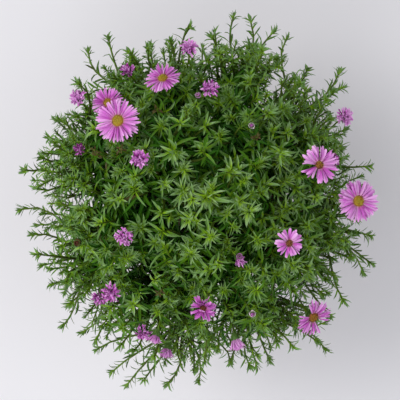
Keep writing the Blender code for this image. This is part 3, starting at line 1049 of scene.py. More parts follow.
def grow(name: str, sprays: Sequence[Spray], finish: Finish, *nodes: str) -> None:
    """Joins the copies of some sprays in one piece, with the numbers that its material reads.

    Args:
        name: The piece's name.
        sprays: The sprays.
        finish: The finish.
        nodes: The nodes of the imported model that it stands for.
    """
    parts, size = [], 0
    for spray in sprays:
        if spray.knots:
            parts.append(spray.lists(size))
            size += len(parts[-1]["points"])
    lists = {key: np.concatenate([part[key] for part in parts]) for key in parts[0]}
    floats = {key: values.astype(np.float32).ravel() for key, values in lists.items()}
    mesh = bpy.data.meshes.new(name)
    mesh.vertices.add(size)
    mesh.vertices.foreach_set("co", floats["points"])
    mesh.loops.add(len(lists["corners"]))
    mesh.loops.foreach_set("vertex_index", lists["corners"].astype(np.int32))
    mesh.polygons.add(len(lists["counts"]))
    starts = np.cumsum(lists["counts"]) - lists["counts"]
    mesh.polygons.foreach_set("loop_start", starts.astype(np.int32))
    mesh.update(calc_edges=True)
    for label, domain in (("tone", "POINT"), ("along", "POINT"), ("across", "POINT"), ("under", "CORNER")):
        mesh.attributes.new(label, "FLOAT", domain).data.foreach_set("value", floats[label])
    mesh.uv_layers.new(name=BAKE_MAP).uv.foreach_set("vector", floats["places"])
    mesh.shade_smooth()
    mesh.set_sharp_from_angle(angle=SHARP_ANGLE)
    obj = bpy.data.objects.new(name, mesh)
    bpy.context.scene.collection.objects.link(obj)
    settle(obj, finish, *nodes)


class Habit(Enum):
    """How a shoot is clothed with leaves, from its tip down.

    Each row gives the distance below the tip, the distance on to the next leaf, a leaf's length and width,
    all in millimetres, the angles in degrees from the shoot that it leaves at and ends at, and its tone. The
    tone falls with the distance below the tip: partly the darker green of older leaves, partly painted shade
    deep in the cushion.
    """

    STAR = (
        (0.0, 0.30, 3.0, 0.9, 8, 12, 0.97),
        (1.0, 0.40, 5.5, 1.3, 30, 46, 0.94),
        (2.2, 0.50, 8.8, 1.7, 50, 84, 0.86),
        (5.0, 1.55, 10.0, 1.8, 54, 98, 0.70),
        (12.0, 2.40, 12.0, 1.9, 52, 104, 0.50),
        (25.0, 3.00, 14.5, 2.3, 52, 108, 0.32),
        (48.0, 3.00, 16.0, 2.6, 58, 112, 0.16),
    )
    TUFT = (
        (0.0, 0.24, 3.2, 0.7, 5, 8, 0.96),
        (1.2, 0.24, 6.0, 0.9, 22, 32, 0.90),
        (3.6, 0.26, 7.4, 1.0, 48, 66, 0.86),
        (7.2, 0.42, 8.2, 1.1, 74, 100, 0.76),
        (9.8, 2.00, 10.5, 1.8, 56, 96, 0.52),
        (25.0, 3.00, 14.0, 2.3, 52, 106, 0.32),
        (48.0, 3.00, 16.0, 2.6, 58, 112, 0.16),
    )
    BRUSH = (
        (0.0, 0.28, 3.4, 0.9, 8, 12, 0.84),
        (2.0, 0.42, 5.0, 1.2, 32, 50, 0.78),
        (6.0, 1.25, 6.8, 1.4, 46, 82, 0.70),
        (20.0, 1.95, 8.6, 1.6, 50, 98, 0.58),
        (35.0, 2.30, 11.5, 2.0, 52, 104, 0.38),
        (50.0, 2.80, 15.0, 2.4, 56, 110, 0.22),
    )
    TWIG = (
        (0.0, 0.30, 5.0, 1.3, 10, 16, 0.78),
        (2.2, 0.34, 6.6, 1.6, 40, 70, 0.74),
        (6.2, 2.00, 6.4, 1.3, 40, 58, 0.60),
        (15.0, 2.40, 9.2, 1.5, 42, 76, 0.52),
        (30.0, 2.40, 12.0, 1.8, 50, 94, 0.46),
        (48.0, 2.80, 13.0, 2.2, 54, 104, 0.36),
    )
    WITHERED = (
        (0.0, 0.60, 3.0, 1.4, 20, 70, 0.02),
        (4.0, 0.90, 4.6, 1.6, 40, 150, 0.02),
        (4.1, 3.00, 9.0, 1.7, 50, 100, 0.40),
        (45.0, 3.00, 15.0, 2.5, 56, 104, 0.30),
    )
    STALK = (
        (0.8, 1.20, 4.0, 1.1, 28, 40, 0.62),
        (6.0, 3.00, 6.2, 1.3, 40, 62, 0.58),
        (20.0, 2.60, 10.0, 1.8, 50, 90, 0.50),
        (45.0, 3.00, 15.0, 2.5, 56, 104, 0.34),
    )


@dataclass
class Shoot:
    """A leafy side shoot.

    Attributes:
        tip: Where it ends.
        facing: The direction its tip faces.
        habit: How it is clothed.
        clothed: The distance below its tip down to which it bears leaves.
        vigour: The size of its leaves, against the habit's.
        tint: What is added to the tone of its leaves.
        girth: The thickness of its wood, against that of most shoots.
        knots: Its arc, once its foot is known.
    """

    tip: Array
    facing: Array
    habit: Habit
    clothed: float = 0.050
    vigour: float = 1.0
    tint: float = 0.0
    girth: float = 1.0
    knots: Array | None = None

    FOOT_RADIUS, TIP_RADIUS = 0.00095, 0.00052
    STEM_PLACES, TURN_COST = (0.26, 0.90, 17), 0.8
    REACH = (0.048, 0.066)
    STATIONS = 40
    DROOP, DROOPING_LENGTH = 0.22, 0.015
    LENGTHS, LONG_LEAVES, LONG_LEAF = (0.74, 1.14), 0.12, 1.35
    WIDTHS = (0.88, 1.12)
    TURN_NOISE, ROLL_NOISE, SICKLE_NOISE = 0.30, 0.22, 0.70
    RISE_NOISE, SPREAD_NOISE = 6, 25
    TONE_NOISE = 0.055
    WITHERED_LEAVES, FRESH_TOP = 0.012, 0.012
    LEAST_BROAD = 0.0095

    def leave(self, stem: Array, rng: Chance) -> None:
        """Finds where the shoot leaves its main stem, and lays its arc.

        Args:
            stem: The main stem's knots.
            rng: The source of chance.
        """
        shares = np.linspace(*self.STEM_PLACES)
        feet, headings = arc_weights(shares) @ stem, unit(arc_slopes(shares) @ stem)
        toward = self.tip - feet
        wanted = rng.uniform(*self.REACH)
        too_far = np.abs(np.linalg.norm(toward, axis=-1) - wanted) / wanted
        best = int(np.argmin(too_far + self.TURN_COST * (1 - dot(headings, unit(toward))[:, 0])))
        away = unit(headings[best] * 0.9 + unit(toward[best]))
        self.knots = arc(feet[best], away, self.tip, self.facing)

    def places(self, below: Array) -> tuple[Array, Array, Array]:
        """Finds the places at some distances below the tip.

        Args:
            below: The distances.

        Returns:
            The points, the shoot's headings there, and its radii there.
        """
        shares = np.linspace(1, 0, self.STATIONS)
        steps = np.linalg.norm(np.diff(arc_weights(shares) @ self.knots, axis=0), axis=-1)
        share = np.interp(below, np.concatenate([[0.0], np.cumsum(steps)]), shares)
        radius = self.TIP_RADIUS + (self.FOOT_RADIUS - self.TIP_RADIUS) * (1 - share)
        return arc_weights(share) @ self.knots, unit(arc_slopes(share) @ self.knots), radius

    def leaf_stations(self, rows: Array, rng: Chance) -> Array:
        """Walks down from the tip.

        Args:
            rows: The habit's rows.
            rng: The source of chance.

        Returns:
            The distance of each leaf below the tip.
        """
        below, stations = rows[0, 0], []
        while below < self.clothed:
            stations.append(below)
            below += np.interp(below, rows[:, 0], rows[:, 1]) * rng.uniform(0.8, 1.2)
        return np.array(stations)

    def clothe(self, broad: Spray, narrow: Spray, rng: Chance) -> None:
        """Adds the shoot's leaves to the sprays of its main stem.

        Args:
            broad: Takes leaves longer than the least broad one.
            narrow: Takes the others.
            rng: The source of chance.
        """
        rows = np.array(self.habit.value) * (MM, MM, MM, MM, 1, 1, 1)
        below = self.leaf_stations(rows, rng)
        count = len(below)
        length, width, rise, spread, tone = (np.interp(below, rows[:, 0], row) for row in rows.T[2:])
        length = length * self.vigour * rng.uniform(*self.LENGTHS, count)
        length = length * np.where(rng.random(count) < self.LONG_LEAVES, self.LONG_LEAF, 1.0)
        width = width * self.vigour * rng.uniform(*self.WIDTHS, count)
        points, axis, radius = self.places(below)
        turn = rng.uniform(0, FULL_TURN) + np.arange(count) * GOLDEN_ANGLE
        out = round_about(axis, turn + rng.normal(0, self.TURN_NOISE, count))
        across = np.cross(out, axis)
        first = leaning(axis, out, rise + rng.normal(0, self.RISE_NOISE, count))
        last = leaning(axis, out, spread + rng.normal(0, self.SPREAD_NOISE, count))
        sickle = across * column(rng.normal(0, self.SICKLE_NOISE, count))
        droop = UP * column(self.DROOP * (length / self.DROOPING_LENGTH) ** 2)
        last = unit(last + sickle - droop)
        start = points + out * column(radius * 0.6)
        end = start + unit(first + last) * column(length * 0.97)
        side = unit(across + np.cross(across, first) * column(rng.normal(0, self.ROLL_NOISE, count)))
        withered = (tone < 0.1) | ((rng.random(count) < self.WITHERED_LEAVES) & (below > self.FRESH_TOP))
        tone = np.clip(tone + self.tint + rng.normal(0, self.TONE_NOISE, count), 0.11, 0.999)
        tone = np.where(withered, rng.uniform(0.0, 0.08, count), tone)
        knots = arc(start, first, end, last, 0.34)
        wide = length > self.LEAST_BROAD
        for spray, chosen in ((broad, wide), (narrow, ~wide)):
            if chosen.any():
                spray.add(knots[chosen], side[chosen], width[chosen] / 2, tone[chosen])

    def bark(self, spray: Spray, tone: float) -> None:
        """Adds the shoot itself to a spray."""
        size, taper = self.FOOT_RADIUS * self.girth, self.TIP_RADIUS / self.FOOT_RADIUS
        spray.add(self.knots, square_to(unit(self.knots[3] - self.knots[0])), size, tone, taper)


@dataclass(frozen=True)
class Head:
    """What every flower head has: a place, a stalk's end and a green cup.

    Attributes:
        number: Its number among its kind.
        x: The pixel's column that its face shows at.
        y: The pixel's row.
        width: Its width.
        lift: How far it stands out above the dome.
        up: How far it turns up from the dome's own direction, or down where this is negative.
    """

    number: int
    x: float
    y: float
    width: float
    lift: float
    up: float = 0.55

    CUP_LENGTH = 0.0058
    SCALE_ROWS, SCALES = 3, 11

    @cache
    def face(self) -> Array:
        """Returns the middle of its face."""
        return DOME.under(self.x, self.y, self.lift)

    @cache
    def axis(self) -> Array:
        """Returns the way it faces."""
        return unit(DOME.outward(self.face()) + UP * self.up)

    def foot(self) -> Array:
        """Returns where its stalk ends."""
        return self.face() - self.axis() * (self.CUP_LENGTH + 2 * SEAT_GAP)

    def cup(self, radius: float, height: float, rng: Chance) -> list[Spray]:
        """Makes the green cup, clad in rows of overlapping scales.

        Args:
            radius: The cup's radius at its top.
            height: The cup's height.
            rng: The source of chance.

        Returns:
            The cup's sprays.
        """
        axis, foot = self.axis(), self.foot() + self.axis() * SEAT_GAP
        body, scales = Spray(CUP), Spray(SCALE)
        body.add(arc(foot, axis, foot + axis * height, axis), square_to(axis), radius, 0.4)
        for row in range(self.SCALE_ROWS):
            turn = (np.arange(self.SCALES) + 0.5 * (row % 2)) * FULL_TURN / self.SCALES
            out = round_about(axis, turn + rng.normal(0, 0.06, self.SCALES))
            start = foot + axis * height * (0.10 + 0.20 * row) + out * radius * (0.62 + 0.16 * row)
            lean = leaning(axis, out, 26 - 8 * row + rng.normal(0, 5, self.SCALES))
            flare = leaning(axis, out, 46 - 12 * row + rng.normal(0, 12, self.SCALES))
            end = start + unit(lean + flare) * column(height * rng.uniform(0.50, 0.66, self.SCALES))
            tone = np.clip(0.62 - 0.08 * row + rng.normal(0, 0.08, self.SCALES), 0.1, 0.95)
            scales.add(arc(start, lean, end, flare), np.cross(axis, out), radius * 0.24, tone)
        return [body, scales]


@dataclass(frozen=True)
class OpenHead(Head):
    """An open daisy head: a cup of green scales, two rows of ray florets and a disc of tiny florets.

    Attributes:
        rays: How many ray florets it has.
        freshness: The tone of its disc, from 0 for ripe to 1 for fresh.
        rise: How far the rays rise, in degrees.
        brightness: The tone of its rays.
        gaps: Stretches of azimuth where rays are missing, in degrees.
        disc: The disc's radius as a share of the head's width.
        breadth: How broad its rays are, against those of most heads.
        crumple: How far they stray from a neat fan, against those of most heads.
    """

    rays: int = 72
    freshness: float = 0.5
    rise: float = 20.0
    brightness: float = 0.62
    gaps: tuple[tuple[float, float], ...] = ()
    disc: float = 0.138
    breadth: float = 1.0
    crumple: float = 1.0

    CUP_SHARE, CUP_RIM = 0.118, 0.0009
    RING, UNFURL = 0.92, 24
    RAY_LENGTHS, RAY_WIDTHS = (0.86, 1.08), (0.036, 0.054)
    PACKING, PACKED_RADIUS = 70, 0.0030
    TUBE_LENGTHS, TUBE_RADIUS = (0.0007, 0.0016), 0.00026

    def build(self, rng: Chance) -> None:
        """Builds the three pieces of the head.

        Args:
            rng: The source of chance.
        """
        label = f"flower_{self.number:02d}"
        cup = self.cup(self.width * self.CUP_SHARE + self.CUP_RIM, self.CUP_LENGTH, rng)
        grow(f"{label}_cup", cup, SCALE_GREEN, f"{label}_calyx")
        grow(f"{label}_ray_florets", [self.fan_of_rays(rng)], RAY_PINK, f"{label}_rays")
        grow(f"{label}_disc_florets", self.packed_disc(rng), DISC_YELLOW, f"{label}_disc")

    def fan_of_rays(self, rng: Chance) -> Spray:
        """Sets the ray florets round the disc, in two rows.

        Args:
            rng: The source of chance.

        Returns:
            The florets.
        """
        turn = 360.0 / self.rays
        azimuth = np.arange(self.rays) * turn + rng.normal(0, turn * 0.34, self.rays)
        kept = np.ones(self.rays, bool)
        for low, high in self.gaps:
            kept &= (azimuth - low) % 360 >= high - low
        azimuth, row = azimuth[kept], (np.arange(self.rays) % 2)[kept]
        count, axis, out = len(azimuth), self.axis(), round_about(self.axis(), np.radians(azimuth))
        ring = self.width * self.disc * self.RING
        length = (self.width / 2 - ring) * rng.uniform(*self.RAY_LENGTHS, count) * (1 - 0.08 * row)
        start = self.face() + out * ring + axis * column(0.0004 + 0.0005 * row)
        first = leaning(out, axis, self.rise + rng.normal(0, 6 * self.crumple, count) + 7 * row)
        stray = rng.normal(0, 20 * self.crumple, count)
        last = leaning(out, axis, self.rise - self.UNFURL + stray - 6 * row)
        last = unit(last + np.cross(axis, out) * column(rng.normal(0, 0.16 * self.crumple, count)))
        end = start + unit(first + last) * column(length)
        side = np.cross(out, axis) + axis * column(rng.normal(0, 0.55 * self.crumple, count))
        size = (self.width / 2) * rng.uniform(*self.RAY_WIDTHS, count) * self.breadth
        tone = np.clip(self.brightness + 0.03 + rng.normal(0, 0.24, count), 0.05, 0.95)
        florets = Spray(RAY)
        florets.add(arc(start, first, end, last), unit(side), size, tone)
        return florets

    def packed_disc(self, rng: Chance) -> list[Spray]:
        """Packs tiny florets over a low button.

        Args:
            rng: The source of chance.

        Returns:
            The button and the florets.
        """
        axis, plane, radius = self.axis(), self.face(), self.width * self.disc
        button, florets = Spray(BUTTON), Spray(TUBE)
        top = plane + axis * radius * 0.42
        button.add(arc(plane, axis, top, axis), square_to(axis), radius * 0.97, self.freshness * 0.6)
        count = int(self.PACKING * (radius / self.PACKED_RADIUS) ** 2)
        share = np.sqrt((np.arange(count) + 0.5) / count)
        out = round_about(axis, np.arange(count) * GOLDEN_ANGLE)
        dome = 0.40 * (1 - share**2.2)
        start = plane + out * column(share * radius * 0.93) + axis * column(radius * dome)
        lean = unit(axis + out * column(0.75 * share))
        end = start + lean * column(rng.uniform(*self.TUBE_LENGTHS, count) * (1.10 - 0.30 * share))
        patch = 0.10 * np.sin(np.arange(count) * 0.9) + 0.40 * (share > 0.70)
        tone = np.clip(self.freshness + rng.normal(0, 0.21, count) - patch, 0.02, 0.98)
        side = np.cross(lean, out + axis * 0.01)
        florets.add(arc(start, lean, end, lean), side, self.TUBE_RADIUS, tone)
        return [button, florets]


@dataclass(frozen=True)
class SpentHead(Head):
    """A half-open or faded head: a green cup with a tuft of curled florets.

    Attributes:
        florets: How many florets are left.
        curl: How far they bend out, in degrees: little for a half-open head, seen from its side.
        brightness: Their tone.
    """

    florets: int = 28
    curl: float = 80.0
    brightness: float = 0.5

    LENGTH = 0.0105
    HALF_OPEN = 30
    FADED_TUFT, HALF_OPEN_TUFT = (2.8, 1.0, 1.0), (2.1, 1.6, 1.15)

    @property
    def half_open(self) -> bool:
        """Whether its florets still stand together."""
        return self.curl < self.HALF_OPEN

    def build(self, rng: Chance) -> None:
        """Builds the two pieces of the head.

        Args:
            rng: The source of chance.
        """
        label, node = f"spent_head_{self.number:02d}", f"faded_head_{self.number:02d}"
        radius = min(self.width * 0.31, 0.0030) * (0.88 if self.half_open else 1.0)
        grow(f"{label}_cup", self.cup(radius, self.LENGTH * 0.45, rng), SCALE_GREEN, node)
        grow(f"{label}_florets", [self.tuft(radius, rng)], RAY_PINK, node)

    def tuft(self, radius: float, rng: Chance) -> Spray:
        """Curls the florets out of the cup, over a ball.

        Args:
            radius: The cup's radius.
            rng: The source of chance.

        Returns:
            The florets.
        """
        full, longer, broader = self.HALF_OPEN_TUFT if self.half_open else self.FADED_TUFT
        axis, count = self.axis(), int(self.florets * full)
        base = self.foot() + axis * (SEAT_GAP + self.LENGTH * 0.38)
        share = ((np.arange(count) + 0.5) / count) ** 0.75
        out = round_about(axis, np.arange(count) * GOLDEN_ANGLE + rng.normal(0, 0.3, count))
        start = base + out * column(radius * 0.85 * share)
        loose = 12 + 0.55 * abs(self.curl)
        first = leaning(axis, out, self.curl * share + rng.normal(0, 12, count))
        last = leaning(axis, out, self.curl * share + rng.normal(0, loose, count))
        last = unit(last + np.cross(axis, out) * column(rng.normal(0, loose / 55, count)))
        length = self.width * rng.uniform(0.34, 0.50, count) * longer
        end = start + unit(first * 1.2 + last) * column(length * 0.9)
        side = np.cross(out, axis) + out * column(rng.normal(0, 0.9, count))
        size = self.width * rng.uniform(0.040, 0.064, count) * broader
        tone = np.clip(self.brightness + 0.10 + rng.normal(0, 0.40, count), 0.02, 0.95)
        florets = Spray(SHRED)
        florets.add(arc(start, first, end, last, 0.5), unit(side), size, tone)
        return florets


@dataclass(frozen=True)
class Bud(Head):
    """A small bud that shows its colour: a closed cup with a tight cone of florets in a pale rim.

    Attributes:
        brightness: The tone of its florets.
        rim: The tone of the outer ones.
        dried: Whether they have turned brown.
    """

    brightness: float = 0.1
    rim: float = 1.0
    dried: bool = False

    FLORETS = 20

    def build(self, rng: Chance) -> None:
        """Builds the two pieces of the bud.

        Args:
            rng: The source of chance.
        """
        label, radius = f"small_bud_{self.number:02d}", self.width * 0.36
        grow(f"{label}_cup", self.cup(radius, self.CUP_LENGTH * 0.8, rng), SCALE_GREEN)
        grow(f"{label}_florets", [self.cone(radius, rng)], DISC_YELLOW if self.dried else RAY_PINK)

    def cone(self, radius: float, rng: Chance) -> Spray:
        """Folds the florets to a cone, and the outer ones out to a rim.

        Args:
            radius: The cup's radius.
            rng: The source of chance.

        Returns:
            The florets.
        """
        axis, count = self.axis(), self.FLORETS
        base = self.foot() + axis * (SEAT_GAP + self.CUP_LENGTH * 0.6)
        share = np.sqrt((np.arange(count) + 0.5) / count)
        outer = share > 0.72
        out = round_about(axis, np.arange(count) * GOLDEN_ANGLE)
        start = base + out * column(radius * 0.80 * share)
        first = leaning(axis, out, 24 * share + 8 * outer)
        bend = np.where(outer, 24 if self.dried else 78, -26 * share)
        last = leaning(axis, out, rng.normal(0, 12, count) + bend)
        length = self.width * rng.uniform(0.55, 0.75, count) * np.where(outer, 0.36, 0.80)
        end = start + unit(first + last) * column(length)
        tone = np.where(outer, self.rim, self.brightness) + rng.normal(0, 0.04, count)
        side = np.cross(out, axis) * column(np.where(outer, 1.0, -1.0))
        size = radius * np.where(outer, 0.48, 0.46)
        florets = Spray(RAY)
        florets.add(arc(start, first, end, last), side, size, np.clip(tone, 0.02, 0.98))
        return florets


OPEN_HEADS = (
    OpenHead(1, 163, 79, 0.0235, 0.004, -0.35, rays=84, freshness=0.80, rise=12),
    OpenHead(2, 108, 103, 0.0215, -0.006, 0.20, rays=70, freshness=0.66, rise=26, brightness=0.50),
    OpenHead(3, 118, 121, 0.0285, 0.006, rays=104, freshness=0.88, rise=14, brightness=0.66),
    OpenHead(4, 319, 165, 0.0250, 0.004, 0.80, rays=62, freshness=0.38, rise=18, brightness=0.66,
             gaps=((172, 204), (231, 242)), disc=0.11, breadth=1.55, crumple=1.9),
    OpenHead(5, 358, 201, 0.0280, 0.000, 1.60, rays=124, freshness=0.80, rise=12, brightness=0.72,
             breadth=1.15),
    OpenHead(6, 289, 243, 0.0190, 0.002, rays=32, freshness=0.22, rise=18, brightness=0.74, disc=0.12,
             breadth=2.2, crumple=1.2),
    OpenHead(7, 313, 317, 0.0255, -0.002, 0.30, freshness=0.45, gaps=((112, 162), (294, 340))),
    OpenHead(8, 203, 308, 0.0185, 0.000, rays=58, freshness=0.14, rise=40, brightness=0.42, disc=0.12,
             breadth=1.8, crumple=3.2),
)

SPENT_HEADS = (
    SpentHead(1, 139, 158, 0.0110, 0.002, florets=35, curl=80, brightness=0.46),
    SpentHead(2, 123, 237, 0.0104, 0.003, florets=32, curl=95, brightness=0.50),
    SpentHead(3, 77, 97, 0.0125, -0.004, florets=35, curl=70, brightness=0.86),
    SpentHead(4, 189, 47, 0.0125, -0.004, florets=28, curl=60, brightness=0.84),
    SpentHead(5, 210, 88, 0.0105, -0.002, florets=28, curl=80, brightness=0.40),
    SpentHead(6, 127, 70, 0.0100, -0.010, florets=25, curl=60, brightness=0.20),
    SpentHead(7, 79, 149, 0.0095, -0.006, florets=25, curl=30, brightness=0.08),
    SpentHead(8, 346, 116, 0.0115, -0.008, 1.6, florets=32, curl=90, brightness=0.90),
    SpentHead(9, 110, 293, 0.0120, -0.004, florets=35, curl=80, brightness=0.35),
    SpentHead(10, 98, 299, 0.0095, -0.010, florets=25, curl=70, brightness=0.30),
    SpentHead(11, 143, 334, 0.0100, -0.012, florets=25, curl=80, brightness=0.45),
    SpentHead(12, 155, 338, 0.0090, -0.008, -0.65, florets=22, curl=26, brightness=0.45),
    SpentHead(13, 167, 351, 0.0110, -0.016, -0.65, florets=28, curl=28, brightness=0.50),
    SpentHead(14, 236, 342, 0.0120, -0.016, -0.65, florets=30, curl=29, brightness=0.72),
    SpentHead(15, 240, 261, 0.0080, -0.004, -0.70, florets=20, curl=24, brightness=0.66),
    SpentHead(16, 333, 160, 0.0100, -0.012, florets=28, curl=80, brightness=0.22),
)

BUDS = (
    Bud(1, 252, 125, 0.0045, 0.004, brightness=0.16, rim=1.04),
    Bud(2, 253, 315, 0.0048, 0.001, brightness=0.28, rim=1.00),
    Bud(3, 76, 243, 0.0060, 0.000, brightness=0.06, rim=0.10, dried=True),
    Bud(4, 198, 94, 0.0042, -0.002, brightness=0.40, rim=0.80),
    Bud(5, 240, 257, 0.0044, -0.001, brightness=0.04, rim=0.30),
)

# Shoot tips that make the outline seen from above
EDGE_TIPS = (
    (108, 37), (88, 50), (78, 83), (76, 115), (48, 138), (41, 157), (24, 170), (36, 188),
    (19, 210), (31, 235), (36, 254), (49, 269), (51, 284), (68, 305), (63, 326), (81, 333),
    (96, 350), (111, 373), (127, 385), (144, 380), (166, 385), (198, 382), (204, 363), (230, 363),
    (257, 367), (270, 361), (293, 347), (326, 350), (344, 301), (364, 274), (372, 264), (371, 236),
    (371, 166), (328, 139), (344, 87), (340, 71), (301, 83), (287, 38), (275, 30), (250, 19),
    (234, 15), (212, 36), (190, 27), (170, 40), (148, 47), (129, 52), (262, 50), (276, 58),
    (328, 98), (331, 118), (54, 142), (62, 152), (66, 284), (84, 296), (96, 342), (110, 326),
    (120, 346), (134, 350), (154, 358), (336, 278), (330, 316), (278, 344), (318, 342), (352, 258),
)
EDGE_LIFTS = (0.000, -0.012, 0.008, -0.022)
WITHERED_TIPS = ((94, 150), (120, 149), (157, 109), (257, 137), (159, 293), (97, 154))


@dataclass
class RootCrown:
    """The woody crown: a low knob on the compost that carries every stem."""

    base: float
    radius: float
    height: float
    knock: float = 0.0007
    sink: float = 0.0012

    def build(self) -> None:
        """Builds the crown from a ball, cut level and knocked out of round."""
        add, middle = bpy.ops.mesh.primitive_uv_sphere_add, (0, 0, self.base)
        crown = start_work(add, segments=40, ring_count=24, radius=self.radius, location=middle)
        crown.name = crown.data.name = "woody_base"
        bpy.ops.transform.resize(value=(1, 1, self.height / self.radius), center_override=middle)
        bpy.ops.transform.vertex_random(offset=self.knock, seed=SEED, uniform=0.0, normal=0.6)
        bpy.ops.mesh.bisect(
            plane_co=middle, plane_no=UP, use_fill=True, clear_inner=True, threshold=0.0001
        )
        end_work()
        bpy.ops.object.shade_smooth_by_angle(angle=math.radians(50))
        settle(crown, CROWN_WOOD, "root_crown")

    def seat(self, azimuth: float, polar: float) -> tuple[Array, Array]:
        """Finds a stem's seat.

        Args:
            azimuth: The stem's azimuth.
            polar: How far it leans.

        Returns:
            A point just under the crown's bark, and the direction that the stem leaves it in.
        """
        side, rise = spoke(azimuth) * math.sin(polar), UP * math.cos(polar)
        point = side * self.radius + rise * self.height + UP * self.base
        away = unit(side / self.radius + rise / self.height)
        return point - away * self.sink, away


@dataclass
class Foliage:
    """The cushion of foliage: the main stems, their side shoots and leaves.

    Attributes:
        crown: What the main stems rise from.
        rng: The source of chance.
        stem_count: How many main stems there are.
        stem_polar: How far the outermost one leans, in radians.
        stem_foot: The radius of a main stem at its foot.
        stem_tip: Its radius at its tip.
        fill_count: How many shoots clothe the dome.
        fill_polar: How far down the dome they reach, in radians.
        fill_pull: How far the dome is drawn in at its foot.
        scatter: How far they stray from an even spread, in radians.
        swell: How strongly the dome rises and sinks from place to place.
        inner_count: How many shorter shoots stand below them, in their shade.
        twig_count: How many slender twigs stand out between those of the outline.
        skirt_count: How many shoots hang about the dome's lower edge.
    """

    crown: RootCrown
    rng: Chance
    stem_count: int = 17
    stem_polar: float = math.radians(84)
    stem_foot: float = 0.0021
    stem_tip: float = 0.0009
    fill_count: int = 520
    fill_polar: float = math.radians(86)
    fill_pull: float = 0.105
    scatter: float = 0.048
    swell: float = 0.027
    inner_count: int = 225
    twig_count: int = 74
    skirt_count: int = 38

    HEAD_ROOM, HEAD_DEPTH = 0.007, 0.016
    SEAT_POLAR, STEM_REACH = 0.72, 0.95
    FILL_NOISE, EDGE_NOISE, TWIG_NOISE, INNER_NOISE, SKIRT_NOISE = 0.42, 0.30, 0.28, 0.30, 0.15
    WAVES, WAVE_NUMBER = 5, 48
    FILL_REACH, FILL_LIMIT = (0.90, 1.005), 1.02
    FILL_CLOTHED, FILL_VIGOUR = (0.031, 0.042), (0.66, 1.20)
    FINE_FROM, FINE_OVER = 40, 26
    # SUNLIT sets the lighter tone and larger leaves of shoots near the top; the lighter tone is painted
    # light.
    SUNLIT, SUNLIT_POLAR = 0.50, 0.21
    STAR_SHARE, BRUSH_SHARE = 0.56, 0.6
    EDGE_INSET = 0.0008
    TWIG_POLAR, TWIG_REACH, TWIG_VIGOUR, TWIG_SHARE = (56, 98), (0.85, 0.96), (0.85, 1.1), 0.3
    INNER_POLAR, INNER_REACH, INNER_DEPTH = math.radians(62), 0.87, 0.35
    SKIRT_REACH, SKIRT_HEIGHT, SKIRT_TILT, SKIRT_STARS = (0.070, 0.097), (0.100, 0.122), -0.25, 0.5

    def stem_arcs(self) -> list[Array]:
        """Lays each main stem from the crown to its own tip.

        Returns:
            The arcs.
        """
        arcs = []
        for index in range(self.stem_count):
            azimuth = index * GOLDEN_ANGLE
            polar = self.stem_polar * math.sqrt((index + 0.35) / self.stem_count)
            seat, leave = self.crown.seat(azimuth, polar * self.SEAT_POLAR)
            tip = DOME.point(polar, azimuth, self.STEM_REACH - self.fill_pull * math.sin(polar) ** 2)
            arcs.append(arc(seat, leave, tip, DOME.outward(tip)))
        return arcs

    def under_heads(self, tip: Array) -> Array:
        """Sinks a shoot tip that would stand before a flower head as seen from above.

        Args:
            tip: The tip.

        Returns:
            Where it goes.
        """
        for head in OPEN_HEADS + SPENT_HEADS:
            gap = np.hypot(*(VIEW.pixel_of(tip) - (head.x, head.y))) * VIEW.scale
            proud = tip[2] - head.face()[2] + self.HEAD_DEPTH
            if gap < head.width / 2 + self.HEAD_ROOM and proud > 0:
                tip = tip - DOME.outward(tip) * proud
        return tip

    def facing(self, tip: Array, noise: float, tilt: float = 0.0) -> Array:
        """Returns the way a shoot tip faces: out of the dome, turned up by a tilt and by chance."""
        return unit(DOME.outward(tip) + self.rng.normal(0, noise, 3) + UP * tilt)

    def fill_shoots(self) -> list[Shoot]:
        """Spreads star-shaped and tufted shoots over the dome, and finer ones towards its edge.

        Returns:
            The shoots.
        """
        shoots = []
        waves = self.rng.normal(0, self.WAVE_NUMBER, (self.WAVES, 3))
        phases = self.rng.uniform(0, FULL_TURN, self.WAVES)
        for index in range(self.fill_count):
            share = (index + 0.5) / self.fill_count
            polar = math.acos(1 - share * (1 - math.cos(self.fill_polar)))
            polar = max(polar + self.rng.normal(0, self.scatter), 0.02)
            azimuth = index * GOLDEN_ANGLE + self.rng.normal(0, self.scatter) / max(math.sin(polar), 0.25)
            swell = self.swell * float(np.cos(waves @ DOME.point(polar, azimuth) + phases).sum())
            stretch = self.rng.uniform(*self.FILL_REACH) + swell - self.fill_pull * math.sin(polar) ** 2
            tip = self.under_heads(DOME.point(polar, azimuth, min(stretch, self.FILL_LIMIT)))
            facing = self.facing(tip, self.FILL_NOISE)
            fine = np.clip((math.degrees(polar) - self.FINE_FROM) / self.FINE_OVER, 0, 1)
            # Near the top, shoots get a lighter tone, as painted light, and larger leaves.
            lit = max(self.SUNLIT * (1 - polar / self.SUNLIT_POLAR), 0.0)
            habit = Habit.STAR if self.rng.random() < self.STAR_SHARE else Habit.TUFT
            if self.rng.random() < fine * self.BRUSH_SHARE:
                habit = Habit.BRUSH
            clothed = self.rng.uniform(*self.FILL_CLOTHED) * (1 - 0.22 * fine)
            vigour = self.rng.uniform(*self.FILL_VIGOUR) * (1 - 0.15 * fine + 0.40 * lit)
            tint = self.rng.normal(0, 0.09) + lit + 0.10 * fine - 0.03
            shoots.append(Shoot(tip, facing, habit, clothed, vigour, tint))
        return shoots

